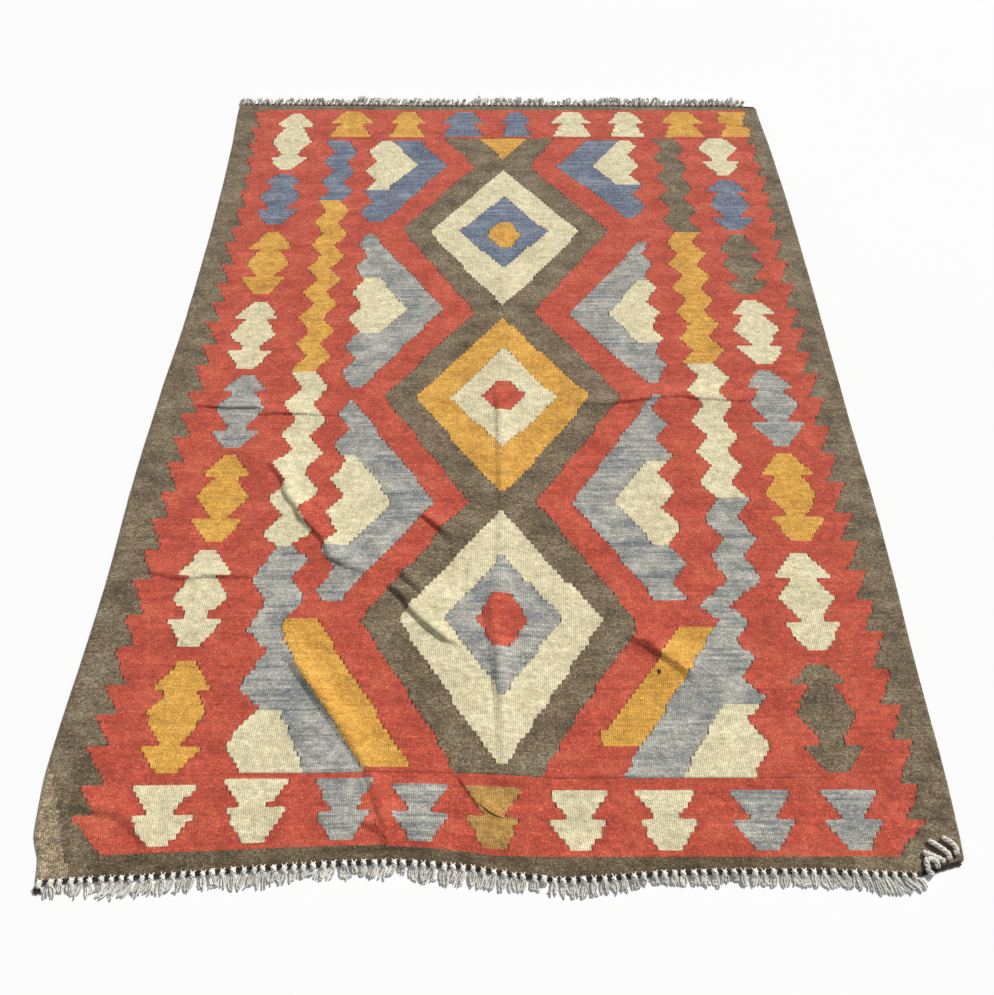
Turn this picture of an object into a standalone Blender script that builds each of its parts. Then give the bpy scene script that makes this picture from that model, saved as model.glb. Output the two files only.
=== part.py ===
"""A kilim rug lying flat: the woven cloth, and the knotted fringe at each of its two ends.

Metres, +Z up. The origin is on the floor under the middle of the rug, +X runs across it and +Y runs along it, from
the near end to the far end. The cloth lies on the floor and rises off it only in low swells.
"""

import bisect
import math
import random

import bmesh
import bpy
from mathutils import Vector

# ---- driving dimensions ----

RUG_WIDTH = 1.500
WOVEN_LENGTH = 2.110
CLOTH_THICKNESS = 0.003
OVERALL_LENGTH = 2.200
LONGEST_TASSEL = 0.046
FRINGE_THICKNESS = 0.004
PIECE_GAP = 0.0003

# The cloth's mesh.
COLUMNS = 36
ROWS = 50

# Each selvedge, from the near end to the far end: how far up the woven length, and how far the edge stands
# outside (+) or inside (-) half the rug's width.
SELVEDGE_COLUMNS = ("along", "left", "right")
SELVEDGES = (
    (0.00, -0.032, -0.014),
    (0.03, -0.012, -0.012),
    (0.08, 0.000, -0.009),
    (0.18, -0.004, -0.005),
    (0.32, -0.012, 0.000),
    (0.46, -0.018, 0.000),
    (0.60, -0.031, 0.000),
    (0.76, -0.035, -0.002),
    (0.90, -0.031, -0.009),
    (1.00, -0.022, -0.019),
)

# Each woven end, from the left selvedge to the right one: how far across the width, and how far the end stands
# outside (+) or inside (-) half the woven length.
END_COLUMNS = ("across", "near", "far")
ENDS = (
    (0.00, 0.010, 0.007),
    (0.06, 0.000, 0.008),
    (0.16, -0.010, 0.006),
    (0.28, -0.022, 0.004),
    (0.38, -0.027, 0.002),
    (0.46, -0.014, 0.003),
    (0.52, 0.000, 0.003),
    (0.57, 0.004, 0.002),
    (0.70, -0.008, 0.002),
    (0.82, -0.010, 0.001),
    (0.93, -0.004, 0.000),
    (1.00, -0.020, -0.010),
)

# The low swells in which the cloth lies off the floor. A swell runs as a soft ridge from one point to another.
SWELL_COLUMNS = ("x0", "y0", "x1", "y1", "width", "height")
SWELLS = (
    (0.02, -0.060, 0.66, -0.062, 0.150, 0.0050),  # the fold across the middle, where it was folded up
    (0.015, 0.330, 0.015, -0.280, 0.170, 0.0040),  # the fold along the middle
    (-0.50, -0.190, -0.36, -0.390, 0.160, 0.0060),  # a buckle that runs slanting through the left half
    (-0.36, -0.390, -0.24, -0.500, 0.160, 0.0050),
    (-0.17, -0.350, -0.06, -0.460, 0.150, 0.0045),
    (-0.20, -0.500, -0.05, -0.670, 0.160, 0.0055),
    (0.22, -0.620, 0.38, -0.740, 0.150, 0.0040),
    (-0.64, -0.085, -0.44, -0.100, 0.150, 0.0040),
    (-0.25, -0.940, -0.14, -0.990, 0.130, 0.0035),
    (-0.60, 0.560, -0.36, 0.600, 0.200, 0.0035),
    (0.30, 0.640, 0.56, 0.700, 0.220, 0.0035),
)

# The cloth is pressed flat along its edges, over this width.
FLAT_EDGE = 0.070

# The fringe: one knot to each group of warp ends, in a row along the woven end.
KNOT_PITCH = 0.0157
KNOT_ROW = 0.013
TASSEL_WIDTH = (0.0085, 0.0105)
TASSEL_TIP = 0.55
TASSEL_LEAN = 0.0030
# The draw that varies each tassel's width and lean.
TASSEL_DRAW = 93
# How long each tassel in turn is, as a share of the longest that fits there.
TASSEL_SHARES = (0.84, 0.93, 0.72, 1.00, 0.88, 0.65, 0.96, 0.79, 0.90, 0.69, 0.98)
# The last tassels at the near right corner lie back over the cloth, so the near comb has no teeth there.
NEAR_TEETH_END = 0.660
FAR_TEETH_END = 0.700

CLOTH_COLOUR = (0.45, 0.10, 0.07, 1.0)
FRINGE_COLOUR = (0.62, 0.58, 0.50, 1.0)
WOOL_ROUGHNESS = 0.9


# ---- outline ----

def read_column(table, names, name, at):
    """The value of one column at a place between the table's rows, on a smooth curve that never overshoots a row."""
    column = names.index(name)
    places = [row[0] for row in table]
    values = [row[column] for row in table]
    last = len(table) - 1
    first = min(max(bisect.bisect_right(places, at) - 1, 0), last - 1)

    def rise(row):
        return (values[row + 1] - values[row]) / (places[row + 1] - places[row])

    def slope(row):
        if row in (0, last) or rise(row - 1) * rise(row) <= 0.0:
            return 0.0
        return 2.0 / (1.0 / rise(row - 1) + 1.0 / rise(row))

    step = places[first + 1] - places[first]
    t = min(max((at - places[first]) / step, 0.0), 1.0)
    return (
        values[first] * (1.0 + 2.0 * t) * (1.0 - t) ** 2
        + values[first + 1] * t * t * (3.0 - 2.0 * t)
        + slope(first) * step * t * (1.0 - t) ** 2
        - slope(first + 1) * step * t * t * (1.0 - t)
    )


def selvedge(side, y):
    """The cloth's edge on the left (side -1) or the right (side +1) at this y."""
    along = y / WOVEN_LENGTH + 0.5
    name = "left" if side < 0 else "right"
    return side * (RUG_WIDTH / 2.0 + read_column(SELVEDGES, SELVEDGE_COLUMNS, name, along))


def woven_end(side, x):
    """The cloth's near end (side -1) or far end (side +1) at this x."""
    across = x / RUG_WIDTH + 0.5
    name = "near" if side < 0 else "far"
    return side * (WOVEN_LENGTH / 2.0 + read_column(ENDS, END_COLUMNS, name, across))


def cloth_point(across, along):
    """Where a point of the weave lies, from its shares of the width and of the length."""
    y = (along - 0.5) * WOVEN_LENGTH
    x = selvedge(-1, y) * (1.0 - across) + selvedge(1, y) * across
    y = woven_end(-1, x) * (1.0 - along) + woven_end(1, x) * along
    return x, y


# ---- height ----

def soft_step(value):
    value = min(max(value, 0.0), 1.0)
    return value * value * (3.0 - 2.0 * value)


def swell_height(row, x, y):
    """How far one swell lifts the cloth here: a soft ridge that fades out at its ends."""
    swell = dict(zip(SWELL_COLUMNS, row))
    start = Vector((swell["x0"], swell["y0"]))
    run = Vector((swell["x1"], swell["y1"])) - start
    away = Vector((x, y)) - start
    share = min(max(away.dot(run) / run.length_squared, 0.0), 1.0)
    distance = (away - run * share).length
    if distance >= swell["width"] / 2.0:
        return 0.0
    return swell["height"] * 0.5 * (1.0 + math.cos(2.0 * math.pi * distance / swell["width"]))


def cloth_height(x, y, across, along):
    """The height of the cloth's underside: the tallest swell here, and nothing along the edges."""
    lift = max(swell_height(row, x, y) for row in SWELLS)
    from_side = min(across, 1.0 - across) * RUG_WIDTH
    from_end = min(along, 1.0 - along) * WOVEN_LENGTH
    return lift * soft_step(min(from_side, from_end) / FLAT_EDGE)


# ---- pieces ----

def new_collection(name):
    collection = bpy.data.collections.new(name)
    bpy.context.scene.collection.children.link(collection)
    return collection


def wool(name, colour):
    material = bpy.data.materials.new(name)
    material.use_nodes = True
    shader = material.node_tree.nodes["Principled BSDF"]
    shader.inputs["Base Color"].default_value = colour
    shader.inputs["Roughness"].default_value = WOOL_ROUGHNESS
    shader.inputs["Metallic"].default_value = 0.0
    return material


def make_cloth(collection):
    """The woven cloth: a grid laid out to the rug's outline, lifted in its swells, and thickened upwards."""
    bpy.ops.mesh.primitive_grid_add(x_subdivisions=COLUMNS, y_subdivisions=ROWS, size=1.0)
    cloth = bpy.context.object
    cloth.name = "kilim_cloth"
    for vertex in cloth.data.vertices:
        across = vertex.co.x + 0.5
        along = vertex.co.y + 0.5
        x, y = cloth_point(across, along)
        vertex.co = (x, y, cloth_height(x, y, across, along))
    body = cloth.modifiers.new("Body of the weave", "SOLIDIFY")
    body.thickness = CLOTH_THICKNESS
    body.offset = 1.0
    cloth.data.materials.append(wool("Woven wool", CLOTH_COLOUR))
    for owner in list(cloth.users_collection):
        owner.objects.unlink(cloth)
    collection.objects.link(cloth)


def end_edge(side):
    """The points of the cloth's own edge at its near end (side -1) or far end (side +1), from left to right."""
    along = 0.0 if side < 0 else 1.0
    return [Vector(cloth_point(column / COLUMNS, along)) for column in range(COLUMNS + 1)]


def on_edge(edge, x):
    """The edge's y at this x, on the straight stretch between two of its points."""
    for start, stop in zip(edge, edge[1:]):
        if x <= stop.x:
            return start.y + (stop.y - start.y) * (x - start.x) / (stop.x - start.x)
    return edge[-1].y


def comb_outline(side, teeth_end, chance):
    """The outline of one fringe: the row of knots along the woven end, then a tooth for each tassel."""
    edge = end_edge(side)
    left = edge[0].x
    right = min(edge[-1].x, teeth_end)
    teeth = round((right - left) / KNOT_PITCH)
    pitch = (right - left) / teeth

    def out(x, distance):
        """A point this far outside the woven end."""
        return Vector((x, on_edge(edge, x) + side * (PIECE_GAP + distance)))

    def tip(x, share):
        """The end of a tassel: none reaches past half the overall length."""
        room = OVERALL_LENGTH / 2.0 - abs(on_edge(edge, x)) - PIECE_GAP
        return out(x, min(LONGEST_TASSEL, room) * share)

    inner = [out(point.x, 0.0) for point in edge if point.x < right] + [out(right, 0.0)]
    outer = []
    for tooth in range(teeth):
        middle = left + pitch * (tooth + 0.5)
        half = chance.uniform(*TASSEL_WIDTH) / 2.0
        lean = chance.uniform(-TASSEL_LEAN, TASSEL_LEAN)
        share = TASSEL_SHARES[tooth % len(TASSEL_SHARES)]
        outer += [
            out(middle - half, KNOT_ROW),
            tip(middle - half * TASSEL_TIP + lean, share),
            tip(middle + half * TASSEL_TIP + lean, share),
            out(middle + half, KNOT_ROW),
        ]
    return inner + [out(right, KNOT_ROW)] + outer[::-1] + [out(left, KNOT_ROW)]


def filled_outline(points, thickness):
    """A closed outline as a flat solid of this thickness, standing on the floor."""
    curve = bpy.data.curves.new("outline", "CURVE")
    curve.dimensions = "2D"
    curve.fill_mode = "BOTH"
    curve.extrude = thickness / 2.0
    spline = curve.splines.new("POLY")
    spline.points.add(len(points) - 1)
    for corner, point in zip(spline.points, points):
        corner.co = (point.x, point.y, 0.0, 1.0)
    spline.use_cyclic_u = True
    guide = bpy.data.objects.new("outline", curve)
    bpy.context.scene.collection.objects.link(guide)
    mesh = bpy.data.meshes.new_from_object(guide.evaluated_get(bpy.context.evaluated_depsgraph_get()))
    bpy.data.objects.remove(guide)
    work = bmesh.new()
    work.from_mesh(mesh)
    bmesh.ops.remove_doubles(work, verts=work.verts, dist=PIECE_GAP / 100.0)
    bmesh.ops.translate(work, verts=work.verts, vec=(0.0, 0.0, thickness / 2.0))
    bmesh.ops.recalc_face_normals(work, faces=work.faces)
    work.to_mesh(mesh)
    work.free()
    return mesh


def make_comb(collection, name, points):
    """One fringe: its outline as thick as a knot, lying on the floor."""
    comb = bpy.data.objects.new(name, filled_outline(points, FRINGE_THICKNESS))
    comb.data.materials.append(wool(name.replace("_", " "), FRINGE_COLOUR))
    collection.objects.link(comb)


def clear_scene():
    for thing in list(bpy.data.objects):
        bpy.data.objects.remove(thing, do_unlink=True)


def main():
    clear_scene()
    rug = new_collection("kilim_rug")
    chance = random.Random(TASSEL_DRAW)
    make_cloth(rug)
    make_comb(rug, "near_fringe", comb_outline(-1, NEAR_TEETH_END, chance))
    make_comb(rug, "far_fringe", comb_outline(1, FAR_TEETH_END, chance))


main()
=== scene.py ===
"""A flat-woven kilim rug laid out on a floor: the charted cloth, and a knotted fringe at each end.

Metres, +Z up. The origin is on the floor under the middle of the rug. +X runs across the rug, and +Y
runs along it from the near end to the far end. The chart of the pattern and the folds are in
millimetres from the same origin.
"""

import math
import random
from collections import namedtuple

import bpy
import numpy as np
from bpy.props import FloatProperty, FloatVectorProperty, IntProperty, PointerProperty
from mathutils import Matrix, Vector, noise


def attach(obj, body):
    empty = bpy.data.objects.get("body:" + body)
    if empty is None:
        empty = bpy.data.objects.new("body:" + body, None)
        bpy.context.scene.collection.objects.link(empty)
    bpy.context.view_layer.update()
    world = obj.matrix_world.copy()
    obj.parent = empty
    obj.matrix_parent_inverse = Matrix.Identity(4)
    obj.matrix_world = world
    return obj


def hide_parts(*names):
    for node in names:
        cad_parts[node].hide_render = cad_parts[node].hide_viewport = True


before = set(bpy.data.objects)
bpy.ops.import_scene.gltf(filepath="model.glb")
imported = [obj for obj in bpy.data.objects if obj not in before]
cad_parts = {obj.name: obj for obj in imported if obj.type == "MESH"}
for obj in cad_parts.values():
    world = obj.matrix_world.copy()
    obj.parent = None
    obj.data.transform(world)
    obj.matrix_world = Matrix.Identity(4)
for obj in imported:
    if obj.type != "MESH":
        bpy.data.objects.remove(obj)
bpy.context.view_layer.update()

bl_info = {
    "name": "Kilim rug",
    "version": (1, 0, 0),
    "blender": (4, 5, 0),
    "location": "View3D > Sidebar > Kilim",
    "description": "Weaves a kilim rug from its chart, knots its fringes and sets up a plain studio floor",
    "category": "Object",
}

MM = 0.001


def table(columns, *rows):
    """A short table: each row becomes a record with the columns' names."""
    record = namedtuple("Row", columns)
    return [record(*row) for row in rows]


# ---- the cloth's outline, swells and creases ----

RUG_WIDTH = 1.500
WOVEN_LENGTH = 2.110
CLOTH_THICKNESS = 0.003
FLAT_EDGE = 0.070

# How far each selvedge stands outside (+) or inside (-) half the width.
SELVEDGES = table(
    "along left right",
    (0.00, -0.032, -0.014),
    (0.03, -0.009, -0.010),
    (0.08, -0.001, -0.006),
    (0.18, -0.009, -0.004),
    (0.26, -0.014, 0.001),
    (0.34, -0.013, 0.003),
    (0.46, -0.018, 0.000),
    (0.60, -0.031, 0.000),
    (0.76, -0.035, -0.002),
    (0.90, -0.031, -0.009),
    (1.00, -0.022, -0.019),
)

# How far each woven end stands outside (+) or inside (-) half the woven length.
ENDS = table(
    "across near far",
    (0.00, 0.014, 0.007),
    (0.06, 0.009, 0.008),
    (0.16, 0.001, 0.006),
    (0.28, -0.012, 0.004),
    (0.38, -0.019, 0.002),
    (0.46, -0.012, 0.003),
    (0.52, 0.001, 0.003),
    (0.57, 0.008, 0.002),
    (0.70, -0.003, 0.002),
    (0.82, -0.005, 0.001),
    (0.93, 0.000, 0.000),
    (1.00, -0.020, -0.010),
)

# Low swells that lift the cloth off the floor, each a soft ridge from one point to another.
SWELLS = table(
    "x0 y0 x1 y1 width height",
    (0.02, -0.060, 0.66, -0.062, 0.150, 0.0036),
    (0.015, 0.330, 0.015, -0.280, 0.170, 0.0036),
    (-0.50, -0.190, -0.36, -0.390, 0.160, 0.0036),
    (-0.36, -0.390, -0.24, -0.500, 0.160, 0.0034),
    (-0.17, -0.350, -0.06, -0.460, 0.150, 0.0034),
    (-0.20, -0.500, -0.05, -0.670, 0.160, 0.0036),
    (0.22, -0.620, 0.38, -0.740, 0.150, 0.0032),
    (-0.64, -0.085, -0.44, -0.100, 0.150, 0.0032),
    (-0.25, -0.940, -0.14, -0.990, 0.130, 0.0030),
    (-0.60, 0.560, -0.36, 0.600, 0.200, 0.0035),
    (0.30, 0.640, 0.56, 0.700, 0.220, 0.0035),
)

# Broad creases on top of the swells. Each falls away steeply on the side that faces this way, which is
# towards the near left, and gently on the other.
STEEP_WAY = (-0.6, -0.8)
CREASES = table(
    "x0 y0 x1 y1 gentle steep height",
    (0.015, 0.330, 0.018, 0.050, 0.050, 0.024, 0.0022),
    (-0.60, -0.320, -0.46, -0.318, 0.050, 0.016, 0.0024),
    (0.25, -0.955, 0.33, -0.960, 0.034, 0.014, 0.0030),
    (-0.352, -0.925, -0.340, -1.030, 0.030, 0.014, 0.0022),
    (-0.62, 0.330, -0.44, 0.322, 0.060, 0.024, 0.0022),
    (0.34, 0.330, 0.58, 0.345, 0.070, 0.026, 0.0022),
    (-0.30, 0.700, -0.08, 0.715, 0.080, 0.028, 0.0022),
)

# The sharp folds, in millimetres: points along the middle of each one's steep side, which lies to the
# right on the way from the first point to the last, with that side's width and height there.
FOLD = "x y width height"
FOLDS = (
    table(
        FOLD,
        (-470, -235, 8, 0.0),
        (-461, -249, 9, 3.5),
        (-436, -285, 10, 6.5),
        (-427, -316, 10, 6.0),
        (-403, -351, 11, 8.0),
        (-387, -380, 11, 8.2),
        (-366, -402, 10, 7.5),
        (-340, -430, 9, 6.0),
        (-324, -466, 9, 5.0),
        (-303, -481, 10, 6.0),
        (-282, -493, 9, 5.5),
        (-254, -502, 8, 3.0),
        (-235, -504, 8, 0.0),
    ),
    table(
        FOLD,
        (-167, -360, 6, 0.0),
        (-144, -376, 7, 5.2),
        (-130, -389, 9, 6.5),
        (-114, -403, 11, 8.0),
        (-96, -424, 15, 8.5),
        (-76, -438, 16, 2.5),
        (-66, -446, 16, 0.0),
    ),
    table(
        FOLD,
        (-190, -486, 12, 0.0),
        (-183, -504, 14, 8.0),
        (-170, -526, 15, 9.0),
        (-152, -540, 14, 7.0),
        (-140, -553, 12, 0.0),
    ),
    table(
        FOLD,
        (-208, -526, 9, 0.0),
        (-201, -537, 9, 5.5),
        (-183, -553, 11, 8.0),
        (-169, -570, 10, 6.5),
        (-159, -588, 9, 6.5),
        (-139, -609, 9, 7.0),
        (-122, -625, 9, 7.2),
        (-99, -645, 9, 7.2),
        (-80, -653, 8, 4.0),
        (-66, -660, 8, 0.0),
    ),
    table(
        FOLD,
        (225, -628, 12, 0.0),
        (241, -645, 14, 6.5),
        (266, -657, 14, 7.5),
        (288, -677, 13, 7.5),
        (307, -692, 12, 6.5),
        (325, -707, 12, 6.5),
        (340, -724, 12, 4.0),
        (350, -733, 12, 0.0),
    ),
    table(
        FOLD,
        (165, -71, 6, 0.0),
        (192, -75, 6, 2.2),
        (243, -78, 6, 2.8),
        (265, -72, 6, 4.0),
        (287, -70, 6, 4.5),
        (322, -63, 6, 3.6),
        (377, -55, 6, 2.6),
        (407, -57, 6, 3.4),
        (433, -63, 6, 4.2),
        (471, -64, 6, 3.0),
        (524, -70, 6, 2.4),
        (600, -66, 6, 0.0),
    ),
    table(
        FOLD,
        (-655, -80, 6, 0.0),
        (-644, -81, 6, 2.0),
        (-586, -88, 6, 4.2),
        (-514, -88, 6, 4.2),
        (-500, -88, 6, 0.0),
    ),
    table(
        FOLD,
        (-510, -107, 6, 0.0),
        (-504, -107, 6, 2.6),
        (-464, -104, 6, 3.6),
        (-378, -107, 6, 3.2),
        (-340, -107, 6, 0.0),
    ),
    table(
        FOLD,
        (-232, -972, 8, 0.0),
        (-214, -981, 9, 3.4),
        (-170, -998, 9, 3.4),
        (-152, -1006, 8, 0.0),
    ),
    table(
        FOLD,
        (-400, -645, 12, 0.0),
        (-378, -678, 14, 4.2),
        (-348, -717, 16, 8.4),
        (-315, -761, 16, 9.1),
        (-281, -804, 15, 7.7),
        (-244, -854, 13, 5.0),
        (-218, -893, 12, 4.2),
        (-203, -932, 12, 4.2),
        (-190, -981, 12, 4.2),
        (-172, -1033, 10, 3.4),
        (-163, -1059, 10, 0.0),
    ),
    table(
        FOLD,
        (-9, -17, 12, 0.0),
        (-2, -75, 13, 3.6),
        (2, -201, 14, 3.8),
        (4, -305, 14, 3.4),
        (4, -403, 15, 2.6),
        (-2, -484, 18, 3.0),
        (-13, -535, 20, 5.5),
        (-17, -583, 20, 7.8),
        (-13, -625, 20, 6.5),
        (-7, -666, 18, 7.5),
        (-2, -725, 17, 7.5),
        (2, -782, 16, 5.5),
        (5, -836, 16, 3.2),
        (8, -886, 16, 0.0),
    ),
    table(
        FOLD,
        (-702, -950, 12, 0.0),
        (-678, -955, 13, 4.0),
        (-647, -960, 14, 5.0),
        (-619, -965, 14, 5.0),
        (-590, -986, 13, 4.2),
        (-562, -1011, 12, 3.2),
        (-545, -1030, 12, 0.0),
    ),
    table(
        FOLD,
        (-693, -500, 8, 0.0),
        (-658, -502, 8, 3.0),
        (-622, -511, 8, 4.4),
        (-584, -516, 8, 4.4),
        (-549, -511, 8, 4.8),
        (-505, -513, 8, 4.6),
        (-467, -511, 8, 3.6),
        (-446, -504, 8, 0.0),
    ),
    table(
        FOLD,
        (-68, -896, 6, 0.0),
        (-62, -906, 6, 2.6),
        (-36, -942, 6, 2.6),
        (-30, -950, 6, 0.0),
    ),
)
# How many samples a fold has between two of its points, and how far its gentle side reaches.
FOLD_SAMPLES = 12
FOLD_BACK = 0.034
# How strongly the weave is drawn together along a crease or fold, over what distance, and how high a full
# crease is.
CREASE_DRAW = 0.60
CREASE_REACH = 0.012
FULL_CREASE = 0.006
# Along the folds the mesh is finer, out to this distance.
FINE_REACH = 0.017


def read_column(rows, key, name, at):
    """The value of one column at a place between the rows, on a smooth curve that never overshoots a row."""
    places = [getattr(row, key) for row in rows]
    values = [getattr(row, name) for row in rows]
    last = len(rows) - 1
    first = min(max(int(np.searchsorted(places, at, side="right")) - 1, 0), last - 1)

    def rise(row):
        return (values[row + 1] - values[row]) / (places[row + 1] - places[row])

    def slope(row):
        if row in (0, last) or rise(row - 1) * rise(row) <= 0.0:
            return 0.0
        return 2.0 / (1.0 / rise(row - 1) + 1.0 / rise(row))

    step = places[first + 1] - places[first]
    t = min(max((at - places[first]) / step, 0.0), 1.0)
    return (
        values[first] * (1.0 + 2.0 * t) * (1.0 - t) ** 2
        + values[first + 1] * t * t * (3.0 - 2.0 * t)
        + slope(first) * step * t * (1.0 - t) ** 2
        - slope(first + 1) * step * t * t * (1.0 - t)
    )


def selvedge(side, y):
    """The cloth's edge on the left (side -1) or the right (side +1) at this y."""
    name = "left" if side < 0 else "right"
    return side * (RUG_WIDTH / 2.0 + read_column(SELVEDGES, "along", name, y / WOVEN_LENGTH + 0.5))


def woven_end(side, x):
    """The cloth's near end (side -1) or far end (side +1) at this x."""
    name = "near" if side < 0 else "far"
    return side * (WOVEN_LENGTH / 2.0 + read_column(ENDS, "across", name, x / RUG_WIDTH + 0.5))


def ridge(row, x, y):
    """The height of one soft ridge over the given points."""
    run_x = row.x1 - row.x0
    run_y = row.y1 - row.y0
    share = ((x - row.x0) * run_x + (y - row.y0) * run_y) / (run_x * run_x + run_y * run_y)
    share = np.clip(share, 0.0, 1.0)
    distance = np.hypot(x - row.x0 - share * run_x, y - row.y0 - share * run_y)
    return row.height * 0.5 * (1.0 + np.cos(2.0 * np.pi * np.minimum(distance / row.width, 0.5)))


def soft_step(value):
    value = np.clip(value, 0.0, 1.0)
    return value * value * (3.0 - 2.0 * value)


def between(start, stop, share):
    """The value at a share of the way from one value to another."""
    return start * (1.0 - share) + stop * share


def from_crease(row, x, y):
    """How far points lie from a crease in x and y, and how far to its steep (+) or gentle (-) side."""
    run_x = row.x1 - row.x0
    run_y = row.y1 - row.y0
    length = math.hypot(run_x, run_y)
    share = np.clip(((x - row.x0) * run_x + (y - row.y0) * run_y) / length**2, 0.0, 1.0)
    away_x = x - row.x0 - share * run_x
    away_y = y - row.y0 - share * run_y
    steep_x, steep_y = run_y / length, -run_x / length
    if steep_x * STEEP_WAY[0] + steep_y * STEEP_WAY[1] < 0.0:
        steep_x, steep_y = -steep_x, -steep_y
    return away_x, away_y, away_x * steep_x + away_y * steep_y


def crease_height(row, x, y):
    """The height of one crease over the given points."""
    away_x, away_y, steepward = from_crease(row, x, y)
    distance = np.hypot(away_x, away_y) + 1e-9
    width = row.gentle + (row.steep - row.gentle) * soft_step(0.5 + 0.5 * steepward / distance)
    return row.height * (1.0 - soft_step(distance / width))


def smooth_path(points, steps):
    """A rounded path through a few points, with this many stretches between each two of them."""
    points = [Vector(point) for point in points]
    ends = [points[0] * 2.0 - points[1]] + points + [points[-1] * 2.0 - points[-2]]
    path = []
    for before, start, stop, after in zip(ends, ends[1:], ends[2:], ends[3:]):
        for step in range(steps):
            t = step / steps
            path.append(
                0.5
                * (
                    2.0 * start
                    + (stop - before) * t
                    + (2.0 * before - 5.0 * start + 4.0 * stop - after) * t * t
                    + (3.0 * start - before - 3.0 * stop + after) * t * t * t
                )
            )
    return path + [points[-1]]


def fold_samples(fold):
    """Places close together along a fold: x, y, the steep side's width and height, and the heading."""
    samples = np.array([list(place) for place in smooth_path(fold, FOLD_SAMPLES)]) * MM
    samples[:, 3] = np.maximum(samples[:, 3], 0.0)
    return np.hstack((samples, np.gradient(samples[:, :2], axis=0)))


def from_fold(fold, x, y):
    """How far points lie from a fold's line in x and y, and the fold's sample nearest to them."""
    samples = fold_samples(fold)
    nearest = np.zeros(x.shape, int)
    margin = FOLD_BACK + CREASE_REACH
    low, high = samples[:, :2].min(axis=0) - margin, samples[:, :2].max(axis=0) + margin
    close = (x > low[0]) & (x < high[0]) & (y > low[1]) & (y < high[1])
    apart = np.hypot(x[close][:, None] - samples[:, 0], y[close][:, None] - samples[:, 1])
    nearest[close] = np.argmin(apart, axis=-1)
    sample = samples[nearest]
    return x - sample[..., 0], y - sample[..., 1], sample


def fold_height(fold, x, y):
    """The height of one fold over the given points."""
    away_x, away_y, sample = from_fold(fold, x, y)
    side = np.sign(away_x * sample[..., 5] - away_y * sample[..., 4])
    width, height = sample[..., 2], sample[..., 3]
    past_crest = side * np.hypot(away_x, away_y) + width / 2.0
    behind = 1.0 - soft_step(-past_crest / FOLD_BACK)
    steep = 1.0 - np.clip(past_crest / width, 0.0, 1.0) ** 1.5
    return height * np.where(past_crest < 0.0, behind, steep)


def draw_together(x, y):
    """The points moved a little towards each crease or fold, as it takes up the weave's length."""
    shift_x = np.zeros_like(x)
    shift_y = np.zeros_like(y)
    lines = [from_crease(row, x, y)[:2] + (row.height,) for row in CREASES]
    for fold in FOLDS:
        away_x, away_y, sample = from_fold(fold, x, y)
        lines.append((away_x, away_y, sample[..., 3]))
    for away_x, away_y, height in lines:
        strength = CREASE_DRAW * np.minimum(height / FULL_CREASE, 1.0)
        pull = strength * np.exp(-(away_x**2 + away_y**2) / CREASE_REACH**2)
        stronger = np.hypot(pull * away_x, pull * away_y) > np.hypot(shift_x, shift_y)
        shift_x = np.where(stronger, pull * away_x, shift_x)
        shift_y = np.where(stronger, pull * away_y, shift_y)
    return x - shift_x, y - shift_y


# ---- the chart ----

# The slate wool is the grey wool painted as it looks in shade: deeper and bluer.
WOOLS = ("brown", "red", "cream", "grey", "slate", "gold", "ochre", "pale_brown", "dark_brown")

# Wefts that run across the whole rug: the near edge of the red ground, the near and the far edge of the
# field, and the far edge of the red ground.
WEFT_LEVELS = table(
    "x red_near field_foot field_head red_far",
    (-640, -1029, -895, 899, 1038),
    (-500, -1023, -895, 899, 1040),
    (-300, -1015, -894, 899, 1039),
    (-200, -1012, -893, 899, 1037),
    (-100, -1017, -893, 899, 1037),
    (0, -1029, -897, 899, 1038),
    (100, -1031, -904, 899, 1037),
    (640, -1030, -903, 899, 1036),
)

# The saw teeth of the side borders: the line through their tips and their depth, and how many teeth are
# passed at each place, counted towards the near end from one near the rug's middle.
TOOTH_TIPS = table(
    "y left right depth",
    (1040, -682, 700, 24),
    (890, -680, 705, 24),
    (812, -670, 706, 20),
    (600, -666, 710, 23),
    (460, -672, 708, 30),
    (100, -668, 707, 35),
    (-160, -677, 706, 36),
    (-400, -682, 704, 37),
    (-620, -688, 703, 37),
    (-850, -693, 704, 38),
    (-968, -688, 700, 40),
    (-1022, -666, 672, 40),
)
LEFT_TEETH = table(
    "y turn",
    (1038, -11.1),
    (955, -10.0),
    (812, -8.0),
    (668, -6.0),
    (600, -5.0),
    (522, -4.0),
    (460, -3.0),
    (383, -2.0),
    (250, 0.0),
    (-34, 4.0),
    (-307, 8.0),
    (-592, 12.0),
    (-730, 14.0),
    (-850, 16.0),
    (-971, 18.0),
    (-1022, 18.85),
)
RIGHT_TEETH = table(
    "y turn",
    (1038, -11.0),
    (955, -10.0),
    (868, -9.0),
    (727, -7.0),
    (595, -5.0),
    (540, -4.0),
    (472, -3.0),
    (393, -2.0),
    (229, 0.0),
    (-60, 4.0),
    (-360, 8.0),
    (-630, 12.0),
    (-910, 16.0),
    (-968, 17.0),
    (-1022, 17.85),
)

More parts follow.
